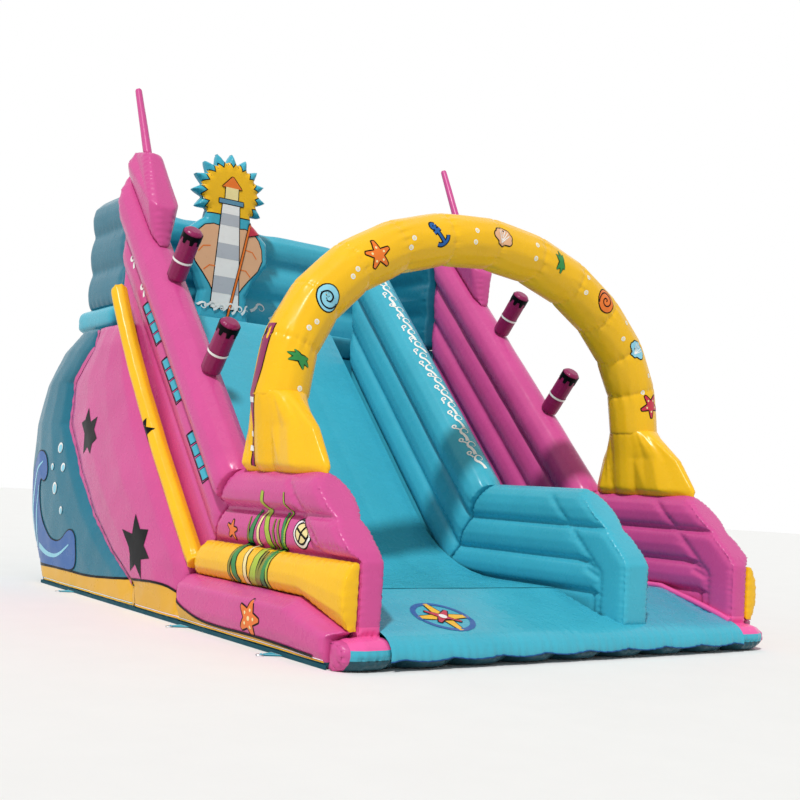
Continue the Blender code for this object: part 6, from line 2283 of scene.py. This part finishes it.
@dataclass
class SeamTapes:
    """Welded tapes over the long seams of the flanks and the back, and the bright band at the right wall's foot."""

    tape: float = 0.06
    weld: float = 0.016
    levels: tuple[float, ...] = (0.78, 1.66, 2.36)
    landing_seam: float = -0.472
    lowest: float = 0.058
    outside: float = 2.22
    band: tuple[Point2, ...] = (
        (-1.2, 0.508), (-2.2, 0.508), (-2.62, 0.402), (-2.80, 0.350), (-2.94, 0.308), (-3.05, 0.268),
    )

    def behind(self, cloth: Cloth) -> None:
        """Weld tapes across the back, and dark weld lines up it where the inner walls are, which also paint the shade
        of the creases there.

        Args:
            cloth: The hull's pieces and walls by name.
        """
        artist = Artist("rear_seams", from_behind([cloth["rear_body"]]))
        for z in self.levels:
            artist.line([(-2.17, z), (2.17, z)], self.tape, Tint.DARK_TEAL, 1)
        # The weld lines are dyed in the shade colour: dark welds that also paint the shade of their creases.
        for x in (-SITE.baffle, 0.0, SITE.baffle):
            for low, high in ((0.28, 1.08), (1.44, 2.84)) if x > 0 else ((0.28, 2.84),):
                artist.line([(x, low), (x, high)], self.weld, Tint.UNDERSIDE)
        artist.finish()
        artist = Artist("back_wall_seams", from_behind([cloth["back_wall"]]))
        # Darker teal over the teal back wall along its welds, which also paints the shade of their creases.
        for x in (-SITE.baffle, 0.0, SITE.baffle):
            artist.line([(x, 3.22), (x, 4.36)], self.weld, Tint.DARK_TEAL, 1)
        artist.finish()

    def border(self, node: str, side: float) -> list[Point2]:
        """The rear edge of a flank's CAD node, found by rays from the side.

        Args:
            node: The node.
            side: Which side it is on.

        Returns:
            Its points as (y, z).
        """
        tree, line = cad_tree(node), []
        (_, low, _), (_, high, _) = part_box(node)
        for z in np.linspace(self.lowest, 2.86, 60):
            for y in np.arange(high, low, -0.008):
                place = tree.ray_cast(Vector((side * 4.0, y, z)), Vector((-side, 0, 0)))[0]
                if place is not None and abs(place.x) > self.outside:
                    line.append((float(y), float(z)))
                    break
        return line

    def build(self, cloth: Cloth) -> None:
        """Weld the tapes on.

        Args:
            cloth: The hull's pieces and walls by name.
        """
        for side, name in SIDES:
            artist = Artist(f"{name}_seams", on_side(side, name, cloth))
            line = self.border(f"{name}_flank_panel", side)
            foot = [(self.landing_seam, z) for z in np.linspace(self.lowest, 0.45, 12)]
            for seam, pink_low, sand_high in ((line, 0.215, 0.235), (foot, 0.16, 0.17)):
                artist.line([point for point in seam if point[1] >= pink_low], self.tape, Tint.PINK, 3, 2)
                artist.line([point for point in seam if point[1] <= sand_high], self.tape, Tint.SAND, 3, 2)
            artist.finish()
        self.behind(cloth)
        line = [Vector((SITE.climb_right - 0.010, y, z)) for y, z in self.band]
        welt("wall_foot_band", [line], 0.032, 0.04, tarpaulin(Tint.BRIGHT_PINK))


# ---------------------------------------------------------------- gear and hard parts


def cad_copy(node: str, finish: Material, ease: float, sharp: float = math.radians(30)) -> Piece:
    """A merged copy of a CAD node with its edges eased, standing for the node.

    Args:
        node: The CAD node.
        finish: The copy's material.
        ease: Width of the eased edges.
        sharp: Least angle of an edge that is eased.

    Returns:
        The copy.
    """
    data = cad_mesh(node)
    bmesh.ops.dissolve_limit(data, angle_limit=math.radians(1), verts=data.verts, edges=data.edges)
    mesh = bpy.data.meshes.new(f"{node}_finished")
    data.to_mesh(mesh)
    data.free()
    mesh.materials.append(finish)
    mesh.shade_smooth()
    mesh.set_sharp_from_angle(angle=sharp)
    made = linked(mesh.name, mesh)
    eased = made.modifiers.new("eased", "BEVEL")
    eased.width = ease
    eased.segments = 2
    eased.angle_limit = sharp
    return wear(made, [node])


def refinish(node: str, finish: Material) -> None:
    """Give a CAD node that keeps its form a better material.

    Args:
        node: The node.
        finish: The material.
    """
    for slot in bpy.data.objects[node].material_slots:
        slot.material = finish
    LOG.info("%s keeps its form, in %s", node, finish.name)


@dataclass
class ClimbingGear:
    """The red rolls, their mat and the webbing with hand loops in the climbing lane."""

    rolls: int = 8
    first: float = 0.30
    pitch: float = 0.42
    left: float = 0.92
    right: float = 1.80
    radius: float = 0.066
    roll_lift: float = 0.008
    mat_lift: float = 0.006
    mat_ripple: float = 0.003
    mat_beyond: float = 0.125
    half_mark: float = 0.058
    dashes: int = 4

    def slope(self, x: float, along: float, above: float) -> Vector:
        """A point of the climbing lane."""
        return Vector((x, *SITE.on_slope(along, above)))

    def build(self) -> None:
        """Grow the rolls, lay the mat and finish the webbing."""
        middle, length = (self.left + self.right) / 2, self.right - self.left
        last = self.first + self.pitch * (self.rolls - 1)
        cloth, sizes = tarpaulin(Tint.RED), {"Pitch": self.pitch, "Length": length, "Radius": self.radius}
        path = [self.slope(middle, along, self.roll_lift) for along in (self.first, last + 0.001)]
        rolls = grown_piece(
            "climbing_rolls", roll_tree(cloth), sizes, cloth, [path], ["climb_steps"]
        )
        self.mat(self.first - self.mat_beyond, last + self.mat_beyond)
        self.marks(rolls)
        self.webbing()

    def mat(self, start: float, end: float) -> None:
        """The mat between the rolls, a little raised in ripples.

        Args:
            start: Its lower end along the slope.
            end: Its upper end.
        """
        alongs, across = np.linspace(start, end, 170), np.linspace(self.left + 0.01, self.right + 0.03, 24)
        ripple = waves(alongs, 0.14, 21)
        verts = [
            self.slope(x, along, self.mat_lift + self.mat_ripple * ripple[row] * abs(math.sin(column)))
            for row, along in enumerate(alongs)
            for column, x in enumerate(across)
        ]
        mat = new_mesh("climbing_mat", verts, grid_faces(len(alongs), len(across)), tarpaulin(Tint.DARK_TEAL))
        wear(mat, ["climb_steps"])

    def marks(self, rolls: Piece) -> None:
        """Black and blue bands and white dashes on every roll.

        Args:
            rolls: The rolls.
        """
        artist = Artist("climbing_rolls", from_slope([rolls]))
        for number in range(self.rolls):
            along = self.first + self.pitch * number
            for x, side in ((self.left, 1), (self.right, -1)):
                for inset, width, tint in ((0.14, 0.05, Tint.BLACK), (0.21, 0.04, Tint.BLUE)):
                    place = x + side * inset
                    artist.line([(place, along - self.half_mark), (place, along + self.half_mark)], width, tint, 1)
            for dash in range(self.dashes):
                x = self.left + 0.32 + 0.08 * dash
                artist.line([(x, along + 0.012), (x + 0.05, along + 0.012)], 0.014, Tint.WHITE, 1)
        artist.finish()

    def webbing(self) -> None:
        """The webbing with its hand loops, and the stitches along both its edges."""
        strap = cad_copy("hand_straps", webbing(Tint.BLUE), 0.0006)
        (low_x, low_y, _), (high_x, high_y, _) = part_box("hand_straps")
        projector = from_slope([strap])
        runs = []
        for x in (low_x + 0.005, high_x - 0.005):
            runs.append([])
            for along in np.arange(0.20, 3.34, 0.012):
                point = projector.place((x, along), 0.0008)
                if point is None or (runs[-1] and (point - runs[-1][-1]).length > 0.05):
                    runs.append([])
                if point is not None:
                    runs[-1].append(point)
        stitch("strap_stitches", [run for run in runs if len(run) > 2], (0.012, 0.008, 0.0011))


@dataclass
class HemAndAnchors:
    """The webbing round the base with its tabs and rings, its stitches and the piping above it."""

    half: float = 2.3998
    height: float = 0.035
    front: float = -2.948
    behind: float = 0.0045
    piping: tuple[tuple[float, Tint, float], ...] = ((0.066, Tint.WHITE, 0.004), (0.053, Tint.YELLOW, 0.0055))
    stations: tuple[float, ...] = (0.95, 2.57, 5.40)
    tab_top: float = 0.0142
    root: tuple[float, float] = (0.012, 0.066)
    tip: tuple[float, float] = (0.105, 0.022)
    stitches: Triple = (0.010, 0.007, 0.0010)

    def trims(self, cloth: Cloth) -> None:
        """Piping along the flanks' feet.

        Args:
            cloth: The hull's pieces by name.
        """
        for level, tint, radius in self.piping:
            lines = []
            for side, name in SIDES:
                projector = on_side(side, name, cloth)
                line = [projector.place((y, level), 0.001) for y in np.arange(-3.04, 3.16, 0.04)]
                lines.append([point for point in line if point is not None])
            welt(f"foot_piping_{tint.name.lower()}", lines, radius, 0.04, webbing(tint))

    def build(self, cloth: Cloth) -> None:
        """Finish the hem, the rings and what is sewn to them.

        Args:
            cloth: The hull's pieces by name.
        """
        self.trims(cloth)
        hem = cad_copy("anchor_hem", webbing(Tint.TEAL), 0.0008)
        # The hem's faces inside the flanks' line, including its runs across the front and back, are dyed in painted
        # shade; the outer faces stay teal.
        hem.data.materials.append(webbing(Tint.UNDERSIDE))
        for face in hem.data.polygons:
            face.material_index = int(abs(face.center.x) < self.half + 0.002)
        lines = []
        for side, station in ((side, station) for side, _ in SIDES for station in self.stations):
            root, tip = side * (self.half + self.root[0]), side * (self.half + self.tip[0])
            y, (wide, narrow) = SITE.y(station), (self.root[1], self.tip[1])
            for ends in (
                ((root, y - wide), (tip, y - narrow)), ((root, y + wide), (tip, y + narrow)),
                ((root, y - wide), (root, y + wide)),
            ):
                lines.append([Vector((*end, self.tab_top)) for end in ends])
        stitch("tab_stitches", lines, self.stitches)
        for node in (f"{side}_ring_{number}" for _, side in SIDES for number in (1, 2, 3)):
            refinish(node, zinc())


@dataclass
class RearGear:
    """The deflation zip, the air sleeve and the blower behind the slide."""

    zip_start: float = -1.646
    zip_end: float = -0.754
    zip_z: float = 1.26
    teeth: tuple[float, float] = (3.9742, 0.0035)
    seams: tuple[float, float] = (3.9745, 0.0035 * 5.6)
    blower_x: float = 0.55
    body_y: float = 3.74
    neck_y: float = 4.24
    body_z: float = 0.575
    neck_z: float = 0.32
    rings: int = 44
    sides: int = 56
    tie_radius: float = 0.137
    tie_places: tuple[float, float] = (4.187, 4.199)
    screw_ring: float = 0.215

    def build(self) -> None:
        """Finish every part at the rear."""
        self.zip()
        self.sleeve()
        self.blower()

    def zip(self) -> None:
        """Tape, teeth and stitches of the zip; the slider moves along it."""
        tape = cad_copy("zip_tape", webbing(Tint.BLACK), 0.0008)
        rows = [
            [
                [Vector((x, y, self.zip_z + offset)) for x in (self.zip_start, self.zip_end)]
                for offset in (-apart, apart)
            ]
            for y, apart in (self.teeth, self.seams)
        ]
        stitch("zip_teeth", rows[0], (0.008, 0.005, 0.0016), DrawnMetal("brass_teeth", "#B08D4A", 0.32).build())
        stitch("zip_stitches", rows[1], (0.012, 0.008, 0.0009))
        refinish("zip_slider", zinc())

    def sleeve(self) -> None:
        """The cloth sleeve from the blower into the body: round, gathered at both ends and tied at the neck."""
        turns = np.linspace(0, 2 * math.pi, self.sides, endpoint=False)
        folds = waves(turns * 0.13, 0.055, 31)
        folds[-1] = folds[0]
        verts = []
        for share in np.linspace(0, 1, self.rings):
            ease = share * share * (3 - 2 * share)
            y, z = self.body_y + (self.neck_y - 3.742) * share, self.body_z + (self.neck_z - self.body_z) * ease
            centre = Vector((self.blower_x, y, z))
            radius = 0.110 + 0.027 * ease + 0.010 * math.sin(math.pi * share)
            gather = 0.010 * (math.exp(-((share / 0.18) ** 2)) + math.exp(-(((1 - share) / 0.16) ** 2)))
            tie = 0.006 * math.exp(-(((share - 0.90) / 0.03) ** 2))
            crease = 0.0035 * math.sin(share * 21)
            for turn, fold in zip(turns, folds):
                reach = radius - gather * fold - tie + crease * math.sin(turn * 2 + share * 5)
                reach = min(reach, self.tie_radius - 0.0005) if share > 0.93 else reach
                out = Vector((math.cos(turn), 0.35 * (1 - share) * math.sin(turn) * 0.5, math.sin(turn)))
                verts.append(centre + out * reach)
        faces = [tuple(reversed(face)) for face in grid_faces(self.rings, self.sides, closed=True)]
        sleeve = new_mesh("inflation_sleeve_cloth", verts, faces, tarpaulin(Tint.BLUE))
        wear(sleeve, ["inflation_sleeve"])
        circle = [polar(self.tie_radius, turn, (self.blower_x, 0.327)) for turn in np.linspace(0, 2 * math.pi, 49)]
        turns_of_cord = [[Vector((x, y, z)) for x, z in circle] for y in self.tie_places]
        welt("sleeve_tie", turns_of_cord, 0.005, 0.02, webbing(Tint.WHITE))

    def blower(self) -> None:
        """Moulded housing, steel motor, black grille and fan wheel, and the switch; the housing gets its screws."""
        black = Finish("black_moulded_nylon", "#1B1C1F", 0.5, specular=0.4, grain_mm=2.0)
        for node, finish in (
            ("blower_housing", Finish("moulded_polyethylene_yellow", "#E3A21A", 0.46, mottle=0.04, grain_mm=2.5)),
            ("blower_motor", DrawnMetal("painted_steel_motor", "#7E848B", 0.38, metallic=0.8, grain_mm=1.6)),
            ("inlet_grille", black),
            ("blower_impeller", black),
            ("switch_rocker", Finish("orange_rocker_plastic", "#E8641E", 0.35, grain_mm=1.0, mottle=0.02)),
        ):
            refinish(node, finish.build())
        turns = [math.radians(angle + 22.5) for angle in range(0, 360, 45)]
        spots = [[Vector((0.4, *polar(self.screw_ring, turn, (4.65, 0.32))))] for turn in turns]
        grown_piece("housing_screws", screw_tree(zinc()), {"Radius": 0.007, "Wire": 0.0014}, zinc(), spots)


@dataclass
class Baffles:
    """The cloth walls inside the base and the body."""

    sizes: tuple[tuple[str, Triple], ...] = (
        ("base_baffles", (1.0, 0.99, 0.86)),
        ("body_baffles", (1.0, 0.965, 0.965)),
    )

    def build(self) -> None:
        """Give the baffles their cloth, cut a little short of the chambers' faces, which their welds pull in."""
        for node, cuts in self.sizes:
            piece = cad_copy(node, tarpaulin(Tint.WHITE), 0.0003)
            low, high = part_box(node)
            middle = (Vector(low) + Vector(high)) / 2
            for vertex in piece.data.vertices:
                vertex.co = [centre + (place - centre) * cut for centre, place, cut in zip(middle, vertex.co, cuts)]


# ---------------------------------------------------------------- picture


@dataclass
class Studio:
    """The pale floor, the plain light and the camera at the photograph's angle."""

    place: Triple = (-6.825, -9.800, 1.324)
    yaw: float = 0.6219
    pitch: float = 0.0587
    roll: float = 0.0581
    focal_px: float = 1130.0
    centre_px: Point2 = (395.16, 421.43)
    picture_px: float = 800.0
    sensor_mm: float = 36.0
    floor_radius: float = 60.0
    sun_way: Triple = (0.52, 0.42, -0.86)
    sun_strength: float = 2.3
    sun_angle: float = math.radians(4)
    sky_strength: float = 0.42

    def camera(self) -> None:
        """Set the camera from the angles fitted to the photograph."""
        x, y = math.sin(self.yaw) * math.cos(self.pitch), math.cos(self.yaw) * math.cos(self.pitch)
        ahead = Vector((x, y, math.sin(self.pitch)))
        level = Vector((math.cos(self.yaw), -math.sin(self.yaw), 0.0))
        above = level.cross(ahead)
        right = level * math.cos(self.roll) + above * math.sin(self.roll)
        up = above * math.cos(self.roll) - level * math.sin(self.roll)
        lens = bpy.data.cameras.new("photo_camera")
        lens.sensor_width = self.sensor_mm
        lens.lens = self.focal_px / self.picture_px * self.sensor_mm
        lens.shift_x = (self.picture_px / 2 - self.centre_px[0]) / self.picture_px
        lens.shift_y = (self.centre_px[1] - self.picture_px / 2) / self.picture_px
        lens.clip_end = 200.0
        made = linked("photo_camera", lens)
        made.matrix_world = Matrix.Translation(self.place) @ Matrix((right, up, -ahead)).transposed().to_4x4()
        bpy.context.scene.camera = made

    def light(self) -> None:
        """A sun from high on the front left and a pale sky that the camera sees as white."""
        sun = bpy.data.lights.new("sun", "SUN")
        sun.energy = self.sun_strength
        sun.angle = self.sun_angle
        linked("sun", sun).rotation_euler = Vector(self.sun_way).to_track_quat("-Z", "Y").to_euler()
        world = bpy.data.worlds.new("sky")
        bpy.context.scene.world = world
        world.use_nodes = True
        tree = world.node_tree
        tree.nodes.clear()
        path = add_node(tree, "ShaderNodeLightPath")
        seen = path.outputs["Is Camera Ray"]
        for ray in ("Is Glossy Ray", "Is Transmission Ray"):
            seen = add_node(tree, "ShaderNodeMath", links={0: seen, 1: path.outputs[ray]}, operation="MAXIMUM")
        strength = {"To Min": self.sky_strength, "To Max": 1.0}
        level = add_node(tree, "ShaderNodeMapRange", strength, {"Value": seen})
        sky = add_node(tree, "ShaderNodeBackground", {"Color": (1.0, 1.0, 1.0, 1.0)}, {"Strength": level})
        add_node(tree, "ShaderNodeOutputWorld", links={0: sky})

    def build(self) -> None:
        """Set up a round pale floor, the light and the camera."""
        finish = Finish("pale_painted_floor", "#F4F4F2", 0.9, mottle=0.01, grain_mm=2.0).build()
        verts = [(*polar(self.floor_radius, math.pi * index / 32), 0.0) for index in range(64)]
        new_mesh("floor", verts, [list(range(64))], finish)
        self.light()
        self.camera()
        bpy.context.scene.view_settings.view_transform = "Standard"


def main() -> None:
    """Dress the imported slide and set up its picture."""
    logging.basicConfig(level=logging.INFO, format="%(name)s: %(message)s")
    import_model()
    lighthouse, cloth = Lighthouse(), {}
    for assembly in (BaseAndBeds(), SlideCover(), Walls(), Hull(), TowersAndMasts(), Arch(), lighthouse):
        cloth |= assembly.build()
    for side, name in SIDES:
        SidePrints(side, name, cloth).build()
    SlidePrints().build(cloth)
    ArchPrints().build(cloth)
    lighthouse.print_on(cloth)
    SeamTapes().build(cloth)
    ClimbingGear().build()
    HemAndAnchors().build(cloth)
    RearGear().build()
    Baffles().build()
    Studio().build()


if __name__ == "__main__":
    main()
